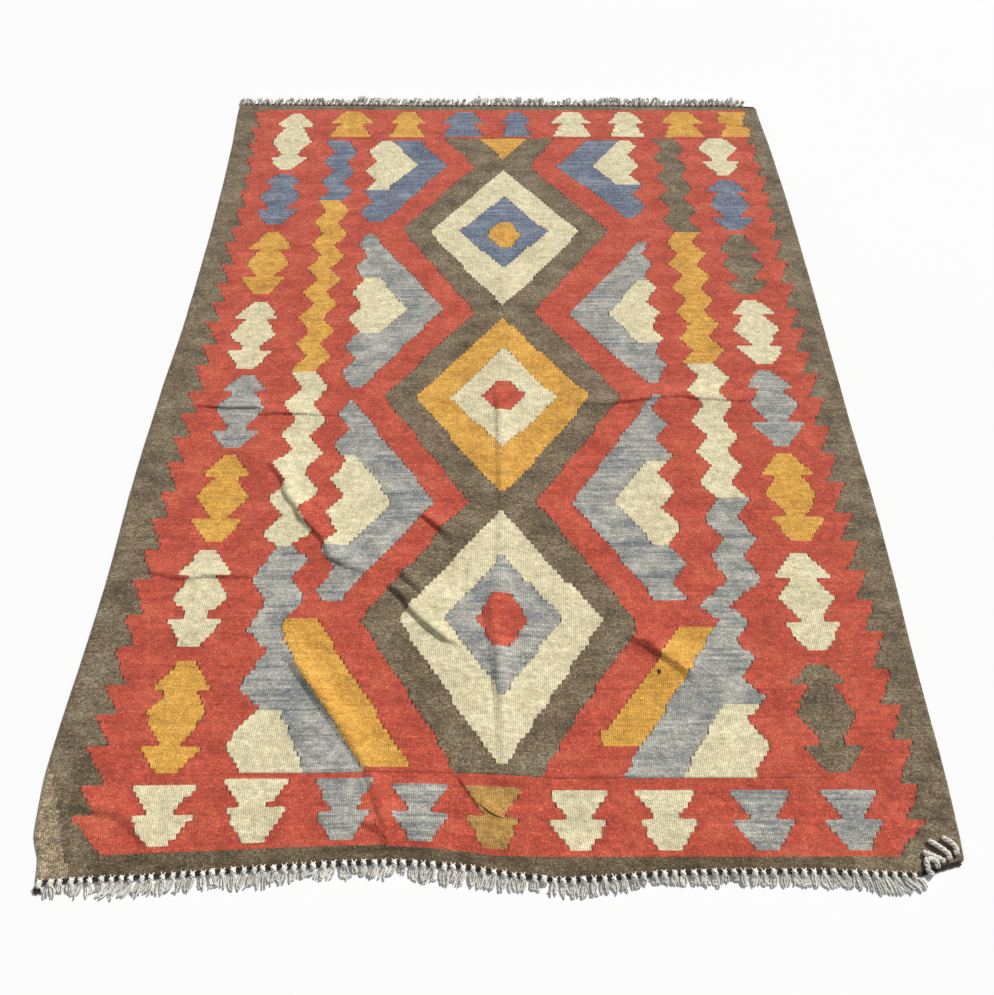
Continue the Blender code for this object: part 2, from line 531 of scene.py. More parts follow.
# The side columns: an arrowhead, a lozenge under it and a cup under that, all in one wool.
SIDE_MOTIFS = table(
    "wool centre top arrow lozenge neck cup foot",
    ("cream", -560, 1020, 960, 884, 826, 818, 756),
    ("slate", -560, 740, 700, 640, 592, 584, 528),
    ("gold", -557, 504, 440, 380, 338, 330, 278),
    ("cream", -556, 248, 190, 140, 98, 90, 28),
    ("grey", -549, 12, -38, -90, -138, -149, -198),
    ("gold", -550, -219, -274, -322, -366, -374, -432),
    ("cream", -553, -451, -507, -555, -592, -600, -663),
    ("gold", -552, -689, -740, -790, -838, -846, -897),
    ("cream", 597, 896, 896, 852, 804, 796, 730),
    ("slate", 597, 712, 664, 608, 564, 556, 508),
    ("brown", 596, 492, 426, 374, 332, 324, 276),
    ("cream", 595, 254, 208, 156, 108, 100, 42),
    ("grey", 594, 26, -28, -80, -122, -130, -188),
    ("gold", 591, -212, -264, -316, -366, -374, -432),
    ("cream", 577, -460, -512, -560, -600, -608, -670),
    ("brown", 567, -692, -736, -788, -836, -844, -898),
)
MOTIF_HALVES = {"top": 14, "wide": 53, "under_arrow": 22, "neck": 20, "cup": 54, "foot": 16}

# The far border: a pointed tier over a spreading one. The last runs into the side border, which cuts it off.
PINES = table(
    "wool centre top_half half",
    ("gold", -404, 22, 59),
    ("gold", -248, 17, 50),
    ("slate", -94, 21, 57),
    ("slate", 54, 14, 41),
    ("cream", 206, 20, 55),
    ("cream", 358, 17, 50),
    ("gold", 514, 25, 58),
    ("gold", 662, 38, 50),
)
PINE = {"top": 1028, "step": 976, "base": 905, "waist": 0.50}

# The near border: two cups, one under the other.
DOUBLE_CUPS = table(
    "wool left right top low_left low_right step foot",
    ("cream", -602, -491, -914, -594, -489, -965, -1012),
    ("cream", -450, -345, -906, -442, -339, -954, -1008),
    ("grey", -304, -199, -903, -299, -201, -957, -1002),
    ("grey", -173, -79, -911, -171, -72, -959, -1006),
    ("ochre", -52, 43, -916, -51, 40, -967, -1019),
    ("cream", 82, 185, -921, 82, 183, -971, -1019),
    ("cream", 223, 327, -921, 225, 327, -971, -1019),
    ("grey", 374, 484, -920, 374, 484, -971, -1018),
    ("grey", 526, 626, -920, 526, 626, -971, -1018),
)
CUP_WAIST = 0.35

# The zigzag ribbons: the wool that starts at each place, and how many swings its left and its right edge
# have passed there.
ZIGZAGS = {
    "left": table(
        "wool y turn right_turn middle half swing",
        ("slate", 888, -0.1, -0.1, -420, 30, 14),
        ("gold", 622, 3.0, 3.0, -417, 29, 14),
        ("cream", 24, 10.0, 10.0, -414, 28, 15),
        ("cream", -76, 11.0, 11.0, -411, 31, 16),
        ("cream", -240, 13.0, 12.8, -409, 32, 17),
        ("cream", -416, 15.0, 14.6, -408, 31, 17),
        ("grey", -445, 15.5, 15.1, -411, 31, 17),
        ("grey", -518, 16.0, 16.1, -411, 36, 16),
        ("grey", -568, 16.5, 16.6, -411, 36, 17),
        ("grey", -625, 17.0, 17.2, -406, 29, 20),
        ("grey", -668, 17.5, 17.6, -406, 28, 20),
        ("grey", -738, 18.0, 18.0, -406, 28, 20),
        ("cream", -777, 18.5, 18.5, -406, 28, 20),
        ("cream", -845, 19.0, 19.0, -410, 31, 19),
        ("", -915, 19.7, 19.7, -412, 31, 19),
    ),
    "right": table(
        "wool y turn right_turn middle half swing",
        ("brown", 898, 0.0, 0.0, 462, 29, 12),
        ("gold", 504, 4.5, 4.5, 463, 33, 15),
        ("cream", 46, 10.0, 10.0, 462, 34, 15),
        ("grey", -328, 14.5, 14.5, 457, 33, 15),
        ("grey", -516, 16.5, 16.5, 455, 32, 16),
        ("grey", -572, 17.0, 17.0, 419, 28, 18),
        ("grey", -756, 19.5, 19.5, 420, 28, 18),
        ("cream", -768, 19.63, 19.63, 420, 28, 18),
        ("", -915, 21.2, 21.2, 418, 28, 18),
    ),
}

# The chevrons: an outer band and a core, both pointing at the rug's middle, with a serrated back.
CORE_SLOPE = 0.69
CHEVRONS = table(
    "side wool y tip core_tip top up bottom down core_top core_bottom back_in back_out first_out pitch",
    (-1, "slate", 780, 130, 210, 890, 0.755, 536, 0.645, 889, 676, 318, 347, 840, 87),
    (-1, "grey", 226, 125, 209, 490, 0.690, -28, 0.680, 332, 142, 316, 343, 456, 88),
    (-1, "grey", -334, 125, 209, -65, 0.690, -567, 0.720, -215, -438, 310, 340, -99, 88),
    (1, "slate", 775, 158, 254, 892, 0.763, 558, 0.773, 892, 688, 350, 379, 864, 87),
    (1, "grey", 206, 166, 256, 460, 0.720, -8, 0.745, 322, 116, 353, 377, 380, 85),
    (1, "grey", -336, 150, 234, -50, 0.650, -566, 0.643, -226, -436, 330, 361, -132, 87),
)

# The brown ground between the chevrons.
MIDDLE_GROUND = table(
    "y left right",
    (898, -146, 156),
    (774, -56, 84),
    (510, -237, 280),
    (211, -50, 84),
    (-50, -246, 270),
    (-334, -57, 78),
    (-603, -251, 252),
    (-633, -232, 253),
    (-740, -163, 173),
    (-836, -101, 111),
    (-915, -58, 64),
)

# The diamonds, each drawn over the one before it. One with a cut is flat at that distance above and below
# its middle.
UNCUT = 999
DIAMONDS = table(
    "wool x y left right up down cut",
    ("cream", 15, 504, 185, 191, 254, 278, UNCUT),
    ("slate", 18, 504, 113, 109, 138, 138, UNCUT),
    ("gold", 18, 492, 42, 42, 74, 74, 47),
    ("gold", 13, -52, 192, 190, 242, 272, 258),
    ("cream", 15, -55, 118, 112, 147, 143, UNCUT),
    ("red", 15, -50, 48, 48, 54, 64, 44),
    ("cream", 8, -604, 190, 186, 250, 288, 271),
    ("grey", 8, -600, 104, 113, 138, 157, UNCUT),
    ("red", 8, -604, 49, 49, 84, 84, 54),
)
# The gold triangle that hangs from the far border.
PENDANT = {"top": 898, "tip": 806, "left": -46, "right": 80, "tip_x": 16}

# The slanting gold bars near the near border, and their edges, which go on down to the border.
BARS = table("side wool top bottom", ("left", "gold", -604, -886), ("right", "gold", -620, -844))
BAR_EDGES = {
    "left": table(
        "y left right",
        (-604, -393, -331),
        (-639, -387, -307),
        (-731, -333, -246),
        (-769, -304, -220),
        (-886, -227, -142),
        (-915, -209, -123),
    ),
    "right": table(
        "y left right",
        (-620, 330, 395),
        (-705, 273, 343),
        (-769, 225, 299),
        (-824, 179, 259),
        (-845, 175, 243),
        (-915, 175, 203),
    ),
}
# The corner of cream beyond each bar: a line from its upper end to its foot.
CREAM_CORNERS = table("x0 y0 x1 y1", (-377, -777, -321, -894), (394, -768, 310, -898))

# Where the brown is paler or darker near the near end: paler along the left selvedge at the corner, darker in
# two patches among the left teeth, and darker along the near end, that band partly a darker brown and partly
# painted shade of the near edge.
BROWN_PATCHES = table(
    "wool top bottom left_top left_bottom right_top right_bottom",
    ("pale_brown", -890, -1110, -780, -780, -740, -648),
    ("dark_brown", -866, -912, -712, -700, -630, -630),
    ("dark_brown", -924, -969, -702, -690, -610, -610),
    # Along the near end: partly a darker brown, partly painted shade of the near edge.
    ("dark_brown", -1008, -1110, -640, -652, 560, 560),
)

# How many rows of the weave lie below each weft line that the pattern keeps to.
WEFT_LINES = table(
    "line row",
    ("near_end", 0),
    ("red_near", 3),
    ("field_foot", 16),
    ("field_head", 206),
    ("red_far", 221),
    ("far_end", 223),
)
# Where a dark line of weft shows between a border and the field: the row above it, and its two ends in x.
BORDER_LINES = table("row x0 x1", (16, -425, 545), (206, -480, 650))


def read_line(rows, name, y):
    """The value of one column at these y, on straight stretches between the rows."""
    rows = sorted(rows, key=lambda row: row.y)
    return np.interp(y, [row.y for row in rows], [getattr(row, name) for row in rows])


def swing(turns):
    """A zigzag: +1 at each whole turn and -1 half-way between."""
    return 4.0 * np.abs(turns - np.floor(turns) - 0.5) - 1.0


def stepped(x, y, centre, profile):
    """Inside a shape that is even about its centre: the profile gives half-widths from top to foot."""
    heights = [height for height, _ in profile][::-1]
    halves = [half for _, half in profile][::-1]
    half = np.interp(y, heights, halves)
    return (np.abs(x - centre) < half) & (y < heights[-1]) & (y > heights[0])


def weft_level(name, x):
    """The y of one of the wefts in WEFT_LEVELS at these x."""
    return np.interp(x, [row.x for row in WEFT_LEVELS], [getattr(row, name) for row in WEFT_LEVELS])


def red_ground(x, y):
    near = weft_level("red_near", x)
    far = weft_level("red_far", x)
    left_turn = read_line(LEFT_TEETH, "turn", y)
    right_turn = read_line(RIGHT_TEETH, "turn", y)
    depth = read_line(TOOTH_TIPS, "depth", y)
    left = read_line(TOOTH_TIPS, "left", y) + depth * (left_turn - np.floor(left_turn))
    right = read_line(TOOTH_TIPS, "right", y) - depth * (right_turn - np.floor(right_turn))
    return (y > near) & (y < far) & (x > left) & (x < right)


def side_motif(x, y, row):
    half = MOTIF_HALVES
    profile = (
        (row.top, half["top"]),
        (row.arrow, half["wide"]),
        (row.arrow - 1, half["under_arrow"]),
        (row.lozenge, half["wide"]),
        (row.neck, half["neck"]),
        (row.cup + 1, half["neck"]),
        (row.cup, half["cup"]),
        (row.foot, half["foot"]),
    )
    return stepped(x, y, row.centre, profile)


def pine(x, y, row):
    profile = (
        (PINE["top"], row.top_half),
        (PINE["step"], row.half),
        (PINE["step"] - 1, row.half * PINE["waist"]),
        (PINE["base"], row.half),
    )
    return stepped(x, y, row.centre, profile)


def cup(x, y, left, right, top, foot):
    half = (right - left) / 2.0
    return stepped(x, y, (left + right) / 2.0, ((top, half), (foot, half * CUP_WAIST)))


def double_cup(x, y, row):
    upper = cup(x, y, row.left, row.right, row.top, row.step)
    lower = cup(x, y, row.low_left, row.low_right, row.step, row.foot)
    return upper | lower


def ribbon_edges(name, y):
    """The left and right edge of one zigzag ribbon."""
    rows = ZIGZAGS[name]
    middle, half, reach = (read_line(rows, column, y) for column in ("middle", "half", "swing"))
    left = middle - half - reach * swing(read_line(rows, "turn", y))
    right = middle + half - reach * swing(read_line(rows, "right_turn", y))
    return left, right


def chevron(x, y, row):
    """The outer band with all it holds, and its core."""
    outward = x * row.side
    back = (row.back_in + row.back_out) / 2.0
    back = back + (row.back_out - row.back_in) / 2.0 * swing((row.first_out - y) / row.pitch)
    tip = row.tip + np.where(y > row.y, (y - row.y) * row.up, (row.y - y) * row.down)
    band = (outward > tip) & (outward < back) & (y < row.top) & (y > row.bottom)
    core_tip = row.core_tip + CORE_SLOPE * np.abs(y - row.y)
    core = band & (outward > core_tip) & (y < row.core_top) & (y > row.core_bottom)
    return band, core


def diamond(x, y, row):
    across = np.where(x < row.x, (row.x - x) / row.left, (x - row.x) / row.right)
    along = np.where(y < row.y, (row.y - y) / row.down, (y - row.y) / row.up)
    return (across + along < 1.0) & (np.abs(y - row.y) < row.cut)


def chart(x, y):
    """Which wool each cell of the weave is worked in, as its place in WOOLS. Millimetres."""
    wool = np.full(x.shape, WOOLS.index("brown"))

    def lay(name, inside):
        wool[inside] = WOOLS.index(name)

    in_field = y > weft_level("field_foot", x)
    lay("red", red_ground(x, y))
    for row in SIDE_MOTIFS:
        lay(row.wool, side_motif(x, y, row))
    for row in PINES:
        lay(row.wool, pine(x, y, row) & red_ground(x, y))
    for row in DOUBLE_CUPS:
        lay(row.wool, double_cup(x, y, row))

    for name, bands in ZIGZAGS.items():
        left, right = ribbon_edges(name, y)
        for start, stop in zip(bands, bands[1:]):
            lay(start.wool, in_field & (x > left) & (x < right) & (y <= start.y) & (y > stop.y))

    for row in CHEVRONS:
        band, core = chevron(x, y, row)
        lay(row.wool, band)
        lay("cream", core)

    ground_left = read_line(MIDDLE_GROUND, "left", y)
    ground_right = read_line(MIDDLE_GROUND, "right", y)
    lay("brown", in_field & (x > ground_left) & (x < ground_right) & (y < MIDDLE_GROUND[0].y))
    for row in DIAMONDS:
        lay(row.wool, diamond(x, y, row))
    hang = (y - PENDANT["tip"]) / (PENDANT["top"] - PENDANT["tip"])
    pendant_left = between(PENDANT["tip_x"], PENDANT["left"], hang)
    pendant_right = between(PENDANT["tip_x"], PENDANT["right"], hang)
    lay("gold", (x > pendant_left) & (x < pendant_right) & (y < PENDANT["top"]))

    near_corners(x, y, lay, in_field)
    return wool


def near_corners(x, y, lay, in_field):
    """The slanting bars, and the grey and cream that lie between them and the zigzag ribbons."""
    for row, corner in zip(BARS, CREAM_CORNERS):
        left, right = (read_line(BAR_EDGES[row.side], edge, y) for edge in ("left", "right"))
        ribbon_left, ribbon_right = ribbon_edges(row.side, y)
        line = corner.x0 + (corner.x1 - corner.x0) * (corner.y0 - y) / (corner.y0 - corner.y1)
        if row.side == "left":
            grey, cream = (x > ribbon_left) & (x < left), x < line
        else:
            grey, cream = (x < ribbon_right) & (x > right), x > line
        grey &= in_field & (y < row.top)
        lay("grey", grey)
        lay("cream", grey & cream & (y < corner.y0))
        lay(row.wool, (y < row.top) & (y > row.bottom) & (x > left) & (x < right))


def tell_brown_patches(wool, x, y):
    """The same cells, with the paler and darker patches of the brown told apart, one of them partly painted
    shade.
    """
    patched_wool = wool.copy()
    for row in BROWN_PATCHES:
        share = (row.top - y) / (row.top - row.bottom)
        left = between(row.left_top, row.left_bottom, share)
        right = between(row.right_top, row.right_bottom, share)
        inside = (y < row.top) & (y > row.bottom) & (x > left) & (x < right)
        patched_wool[inside & (wool == WOOLS.index("brown"))] = WOOLS.index(row.wool)
    return patched_wool


# ---- the woven cloth ----

WEAVE_COLUMNS = 210
WEAVE_ROWS = WEFT_LINES[-1].row
WARPS_PER_COLUMN = 2
WEFTS_PER_ROW = 6
# Where the rounded rim has its rings of points, from the very edge inwards, and how far in it reaches.
RIM_RINGS = (0.0, 0.0006, 0.0019)
RIM_ROUND = 0.0022
# How wide the thicker cord of a selvedge is.
SELVEDGE_CORD = 0.010
# A cell of the weave is split this many times each way along a fold, and a face of the underside joins
# this many cells each way.
FINE_SPLIT = 4
UNDER_JOIN = 2
# The outline is read at this many places, over this share of the rug's width or length to each side.
OUTLINE_PLACES = 400
OUTLINE_REACH = 0.52
# How far the wefts cut the corner of a step, in cells.
STEP_ROUND = 0.09
# The marks that the wools' shading reads: the least along a slit, for one that lies closed, and the one
# along a dark line of weft. Along a slit the mark paints shade into the gap, darker the more it gapes.
SLIT_CLOSED = 0.66
LINE_MARK = 0.72
# The low uneven waves: how many to the metre across and along, which layer of the noise, and how strong.
PUCKERS = table("across along layer strength", (4.5, 11.0, 0.3, 1.0), (15.0, 30.0, 4.7, 0.8))
# How far the waves are raised before what lies under the floor is cut off, and where they are cut off above.
PUCKER_LIFT = 0.45
PUCKER_TOP = 1.4
# How much of them a full crease takes away, and how much of them the flat edges keep.
PUCKER_CALM = 0.6
PUCKER_EDGE = 0.3
# In the baking map, the left end and the width of the top and of the underside, and the margin round them.
BAKE_TOP = (0.005, 0.625)
BAKE_UNDER = (0.645, 0.350)
BAKE_MARGIN = 0.005
CLOTH = "woven_cloth"


def weave_counts(cells, length):
    """Places along one side of the weave, in cells: each cell's edge and the rings of the rounded rim."""
    rim = np.array(RIM_RINGS) / length * cells
    return np.concatenate((rim, np.arange(1, cells), cells - rim[::-1]))


def outline_places(length):
    return np.linspace(-length * OUTLINE_REACH, length * OUTLINE_REACH, OUTLINE_PLACES)


def weft_line(name, x):
    """The y of one of the weft lines at these x."""
    if name in WEFT_LEVELS[0]._fields:
        return weft_level(name, x / MM) * MM
    side = -1 if name == "near_end" else 1
    places = outline_places(RUG_WIDTH)
    return np.interp(x, places, [woven_end(side, place) for place in places])


def cloth_points(columns, rows):
    """Where points of the weave lie, for their column counts and row counts."""
    levels = [line.row for line in WEFT_LINES]
    middle = np.interp(rows, levels, [float(weft_line(line.line, np.array(0.0))) for line in WEFT_LINES])
    along = outline_places(WOVEN_LENGTH)
    left = np.interp(middle, along, [selvedge(-1, y) for y in along])
    right = np.interp(middle, along, [selvedge(1, y) for y in along])
    share = columns / WEAVE_COLUMNS
    x = between(left, right, share)
    y = np.empty_like(x)
    for low, high in zip(WEFT_LINES, WEFT_LINES[1:]):
        band = (rows >= low.row) & (rows <= high.row)
        part = (rows[band] - low.row) / (high.row - low.row)
        y[band] = between(weft_line(low.line, x[band]), weft_line(high.line, x[band]), part)
    return x, y


def puckers(x, y, height):
    """The low uneven waves of a hand-woven cloth: longer across the rug than along it."""
    waves = np.zeros_like(x)
    for row in PUCKERS:
        places = zip(x * row.across, y * row.along)
        wave = [noise.noise(Vector((across, along, row.layer))) for across, along in places]
        waves += row.strength * np.array(wave)
    return height * np.clip(waves + PUCKER_LIFT, 0.0, PUCKER_TOP)


def lift(x, y, inward, sizes):
    """How high the cloth's underside lies: swells, creases and puckers, pressed flat along the edges."""
    swell = np.max([ridge(row, x, y) for row in SWELLS], axis=0)
    creases = [crease_height(row, x, y) for row in CREASES] + [fold_height(fold, x, y) for fold in FOLDS]
    crease = np.max(creases, axis=0) * sizes.crease_depth
    flat = soft_step(inward / FLAT_EDGE)
    calm = 1.0 - PUCKER_CALM * soft_step(crease / FULL_CREASE)
    waves = puckers(x, y, sizes.pucker_height) * np.maximum(flat, PUCKER_EDGE) * calm
    return (swell + crease) * flat + waves


def heights(columns, rows, x, y, sizes):
    """The height of the underside and of the top at points of the weave."""
    from_side = np.minimum(columns, WEAVE_COLUMNS - columns) * RUG_WIDTH / WEAVE_COLUMNS
    from_end = np.minimum(rows, WEAVE_ROWS - rows) * WOVEN_LENGTH / WEAVE_ROWS
    inward = np.minimum(from_side, from_end)
    middle = lift(x, y, inward, sizes) + CLOTH_THICKNESS / 2.0
    half = CLOTH_THICKNESS / 2.0 * np.sqrt(1.0 - (1.0 - np.clip(inward / RIM_ROUND, 0.0, 1.0)) ** 2)
    cord = sizes.selvedge_swell * np.sin(np.pi * np.clip(from_side / SELVEDGE_CORD, 0.0, 1.0))
    return middle - half, middle + half + cord


def corner_marks(wool, rows, middle_x, seed):
    """The marks of each cell's four corners on a slit or a dark line of weft: 1 for a slit that gapes, with
    the darkest painted shade in its gap.
    """
    chance = np.random.default_rng(seed)
    marks = np.zeros(wool.shape + (4,))
    changes = wool[:, 1:] != wool[:, :-1]
    # How dark the painted shade in the gap of each slit is, from one that lies closed to one that gapes.
    painted_gap_shade = chance.uniform(SLIT_CLOSED, 1.0, changes.shape) * changes
    on_left = chance.random(changes.shape) < 0.5
    marks[:, 1:, 0] = painted_gap_shade * on_left
    marks[:, 1:, 3] = painted_gap_shade * on_left
    marks[:, :-1, 1] = painted_gap_shade * ~on_left
    marks[:, :-1, 2] = painted_gap_shade * ~on_left
    both = (marks[:, :, 0] > 0.0) & (marks[:, :, 1] > 0.0)
    marks[both, 1:3] = 0.0
    for line in BORDER_LINES:
        row = int(np.searchsorted(rows, line.row))
        drawn = (middle_x[row] > line.x0) & (middle_x[row] < line.x1)
        marks[row, drawn, 0] = LINE_MARK
        marks[row, drawn, 1] = LINE_MARK
        marks[row, drawn, 2:] = 0.0
    return marks


def step_shifts(wool):
    """How far each corner moves into the odd one of its four cells, where the other three are alike."""
    shifts = np.zeros((wool.shape[0] + 1, wool.shape[1] + 1, 2))
    around = [wool[:-1, :-1], wool[:-1, 1:], wool[1:, 1:], wool[1:, :-1]]
    ways = ((-1, -1), (1, -1), (1, 1), (-1, 1))
    for odd, way in enumerate(ways):
        others = [around[place] for place in range(4) if place != odd]
        alike = (others[0] == others[1]) & (others[1] == others[2]) & (around[odd] != others[0])
        shifts[1:-1, 1:-1][alike] = np.array(way) * STEP_ROUND
    return shifts


def round_block(row0, column0, row1, column1, steps):
    """The lattice points round a block of the weave, anticlockwise from its near left corner."""
    near, right, far, left = steps
    points = [(row0, column) for column in range(column0, column1, near)]
    points += [(row, column1) for row in range(row0, row1, right)]
    points += [(row1, column) for column in range(column1, column0, -far)]
    points += [(row, column0) for row in range(row1, row0, -left)]
    return points


def top_faces(fine):
    """The faces of the top: each one's cell and the lattice points round it. Fine cells are split."""
    split = FINE_SPLIT
    beside = np.pad(fine, 1)
    for row, column in np.ndindex(fine.shape):
        first_row, first_column = row * split, column * split
        if fine[row, column]:
            for i, j in np.ndindex(split, split):
                low, left = first_row + i, first_column + j
                yield (row, column), round_block(low, left, low + 1, left + 1, (1, 1, 1, 1))
        else:
            sides = (
                beside[row, column + 1],
                beside[row + 1, column + 2],
                beside[row + 2, column + 1],
                beside[row + 1, column],
            )
            steps = [1 if side else split for side in sides]
            block = (first_row, first_column, first_row + split, first_column + split)
            yield (row, column), round_block(*block, steps)


def under_faces(rows, columns):
    """The faces of the underside, which join a few cells each and meet the top's faces round the rim."""
    split = FINE_SPLIT
    for row in range(0, rows, UNDER_JOIN):
        for column in range(0, columns, UNDER_JOIN):
            end_row, end_column = min(row + UNDER_JOIN, rows), min(column + UNDER_JOIN, columns)
            along, across = (end_row - row) * split, (end_column - column) * split
            steps = (
                split if row == 0 else across,
                split if end_column == columns else along,
                split if end_row == rows else across,
                split if column == 0 else along,
            )
            block = round_block(row * split, column * split, end_row * split, end_column * split, steps)
            yield (end_row - 1, end_column - 1), block[::-1]


def in_cells(values, row, column):
    """The values of a grid of corners at fractional places in it."""
    low, left = np.floor(row).astype(int), np.floor(column).astype(int)
    low, left = np.minimum(low, values.shape[0] - 2), np.minimum(left, values.shape[1] - 2)
    up, across = (row - low)[:, None], (column - left)[:, None]
    near = between(values[low, left], values[low, left + 1], across)
    far = between(values[low + 1, left], values[low + 1, left + 1], across)
    return between(near, far, up)


def fine_cells(middle_x, middle_y):
    """Which cells lie along a fold."""
    fine = np.zeros(middle_x.shape, bool)
    for fold in FOLDS:
        away_x, away_y, _ = from_fold(fold, middle_x * MM, middle_y * MM)
        fine |= np.hypot(away_x, away_y) < FINE_REACH
    return fine


def make_cloth(sizes):
    """The cloth as one closed mesh: a charted top, an underside in the same wools, and a rounded rim."""
    columns = weave_counts(WEAVE_COLUMNS, RUG_WIDTH)
    rows = weave_counts(WEAVE_ROWS, WOVEN_LENGTH)
    middle_column, middle_row = np.meshgrid((columns[:-1] + columns[1:]) / 2.0, (rows[:-1] + rows[1:]) / 2.0)
    middle_x, middle_y = cloth_points(middle_column, middle_row)
    middle_x, middle_y = middle_x / MM, middle_y / MM
    wool = chart(middle_x, middle_y)
    patched_wool = tell_brown_patches(wool, middle_x, middle_y)

    top = list(top_faces(fine_cells(middle_x, middle_y)))
    under = list(under_faces(*wool.shape))
    owner = np.array([cell for cell, _ in top + under])
    counts = np.array([len(points) for _, points in top + under])
    corner = np.array([point for _, points in top + under for point in points])
    corner_owner = np.repeat(owner, counts, axis=0)
    below = np.repeat(np.arange(len(owner)) >= len(top), counts)

    height, width = wool.shape[0] * FINE_SPLIT, wool.shape[1] * FINE_SPLIT
    on_rim = (corner % (height, width) == 0).any(axis=1)
    code = (corner[:, 0] * (width + 1) + corner[:, 1]) * 2 + (below & ~on_rim)
    used, first, vertex = np.unique(code, return_index=True, return_inverse=True)
    place = corner / FINE_SPLIT
    shift = in_cells(step_shifts(wool), place[:, 0], place[:, 1]) * ~below[:, None]
    column = np.interp(place[:, 1], np.arange(len(columns)), columns) + shift[:, 0]
    row = np.interp(place[:, 0], np.arange(len(rows)), rows) + shift[:, 1]

    x, y = cloth_points(column[first], row[first])
    x, y = draw_together(x, y)
    low, high = heights(column[first], row[first], x, y, sizes)
    points = np.stack((x, y, np.where(used % 2 == 1, low, high)), axis=-1)
    edges = np.concatenate(([0], np.cumsum(counts)))
    faces = [vertex[start:stop].tolist() for start, stop in zip(edges, edges[1:])]
    mesh = bpy.data.meshes.new(CLOTH)
    mesh.from_pydata(points.tolist(), [], faces)
    for name in WOOLS:
        mesh.materials.append(wool_material(name))
    mesh.polygons.foreach_set("material_index", patched_wool[owner[:, 0], owner[:, 1]].astype(np.int32))
    mesh.polygons.foreach_set("use_smooth", np.ones(len(faces), bool))

    # Marks that paint shade into the gaps of the slits and draw the dark lines of weft, on the top only.
    marks = corner_marks(wool, rows, middle_x, sizes.slit_draw)[corner_owner[:, 0], corner_owner[:, 1]]
    up, across = (place - corner_owner).T
    near = between(marks[:, 0], marks[:, 1], across)
    far = between(marks[:, 3], marks[:, 2], across)
    slit = np.where(below, 0.0, between(near, far, up))
    mesh.attributes.new("slit", "FLOAT", "CORNER").data.foreach_set("value", slit)
    threads = np.stack((column * WARPS_PER_COLUMN, row * WEFTS_PER_ROW), axis=-1)
    share = column / WEAVE_COLUMNS
    across = np.where(below, BAKE_UNDER[0] + BAKE_UNDER[1] * share, BAKE_TOP[0] + BAKE_TOP[1] * share)
    along = BAKE_MARGIN + (1.0 - 2.0 * BAKE_MARGIN) * (row / WEAVE_ROWS)
    lay_maps(mesh, threads, np.stack((across, along), axis=-1))
    return add_object(CLOTH, mesh)


def lay_maps(mesh, threads, flat):
    """Two maps: "Weave" counts along the threads for the shading, and "OFBake" lays the faces out flat."""
    for name, places in (("Weave", threads), ("OFBake", flat)):
        mesh.uv_layers.new(name=name).data.foreach_set("uv", places.ravel())
    mesh.uv_layers["Weave"].active = True
    mesh.uv_layers["Weave"].active_render = True


def add_object(name, data):
    """A new object in the scene."""
    made = bpy.data.objects.new(name, data)
    bpy.context.scene.collection.objects.link(made)
    return made


# ---- shading: groups that the wools share ----

def feed(tree, value, socket):
    """Links an input to another node's output, or sets it to a value."""
    if isinstance(value, bpy.types.NodeSocket):
        tree.links.new(value, socket)
    else:
        socket.default_value = value


def node(tree, kind, feeds=None, **settings):
    """Adds a node, sets it up and feeds its inputs."""
    made = tree.nodes.new(kind)
    made.location = (len(tree.nodes) * 170.0, 0.0)
    for name, value in settings.items():
        setattr(made, name, value)
    for name, value in (feeds or {}).items():
        feed(tree, value, made.inputs[name])
    return made


def maths(tree, operation, *values):
    return node(tree, "ShaderNodeMath", dict(enumerate(values)), operation=operation).outputs[0]


def vector(tree, x=0.0, y=0.0, z=0.0):
    return node(tree, "ShaderNodeCombineXYZ", {"X": x, "Y": y, "Z": z}).outputs[0]


def remap(tree, value, low, high, to_low=0.0, to_high=1.0):
    feeds = {"Value": value, "From Min": low, "From Max": high, "To Min": to_low, "To Max": to_high}
    return node(tree, "ShaderNodeMapRange", feeds).outputs["Result"]


def blend_colour(tree, amount, first, second, blend_type="MIX"):
    mix = node(tree, "ShaderNodeMix", data_type="RGBA", blend_type=blend_type)
    for index, value in ((0, amount), (6, first), (7, second)):
        feed(tree, value, mix.inputs[index])
    return mix.outputs[2]


def random_value(tree, place):
    return node(tree, "ShaderNodeTexWhiteNoise", {"Vector": place}, noise_dimensions="3D").outputs["Value"]


def smooth_noise(tree, place, scale, detail, roughness):
    feeds = {"Vector": place, "Scale": scale, "Detail": detail, "Roughness": roughness}
    return node(tree, "ShaderNodeTexNoise", feeds).outputs["Fac"]


def drawn_out_noise(tree, x, y, across, along, layer=0.0, detail=3.0, roughness=0.7):
    """Smooth noise with its own scale across the threads and along them."""
    place = vector(tree, maths(tree, "MULTIPLY", x, across), maths(tree, "MULTIPLY", y, along), layer)
    return smooth_noise(tree, place, 1.0, detail, roughness)


def through_step(tree, value):
    """From -1 to +1 through each whole step of a value."""
    return maths(tree, "MULTIPLY_ADD", maths(tree, "FRACT", value), 2.0, -1.0)


def arch(tree, place):
    """1 in the middle of a step and 0 at its two ends."""
    return maths(tree, "SUBTRACT", 1.0, maths(tree, "MULTIPLY", place, place))


def new_group(name, inputs, outputs):
    """An empty shader node group with its sockets, and the nodes that carry them."""
    tree = bpy.data.node_groups.new(name, "ShaderNodeTree")
    for label, kind, value in inputs:
        socket = tree.interface.new_socket(name=label, in_out="INPUT", socket_type=kind)
        socket.default_value = value
    for label, kind in outputs:
        tree.interface.new_socket(name=label, in_out="OUTPUT", socket_type=kind)
    return tree, tree.nodes.new("NodeGroupInput").outputs, tree.nodes.new("NodeGroupOutput").inputs


FLOAT = "NodeSocketFloat"
VECTOR = "NodeSocketVector"
COLOUR = "NodeSocketColor"
# What both structures of wool, the weave and the plied cord, give.
STRUCTURE = tuple((label, FLOAT) for label in ("Height", "Shade", "Bead", "Streak", "Cloud"))


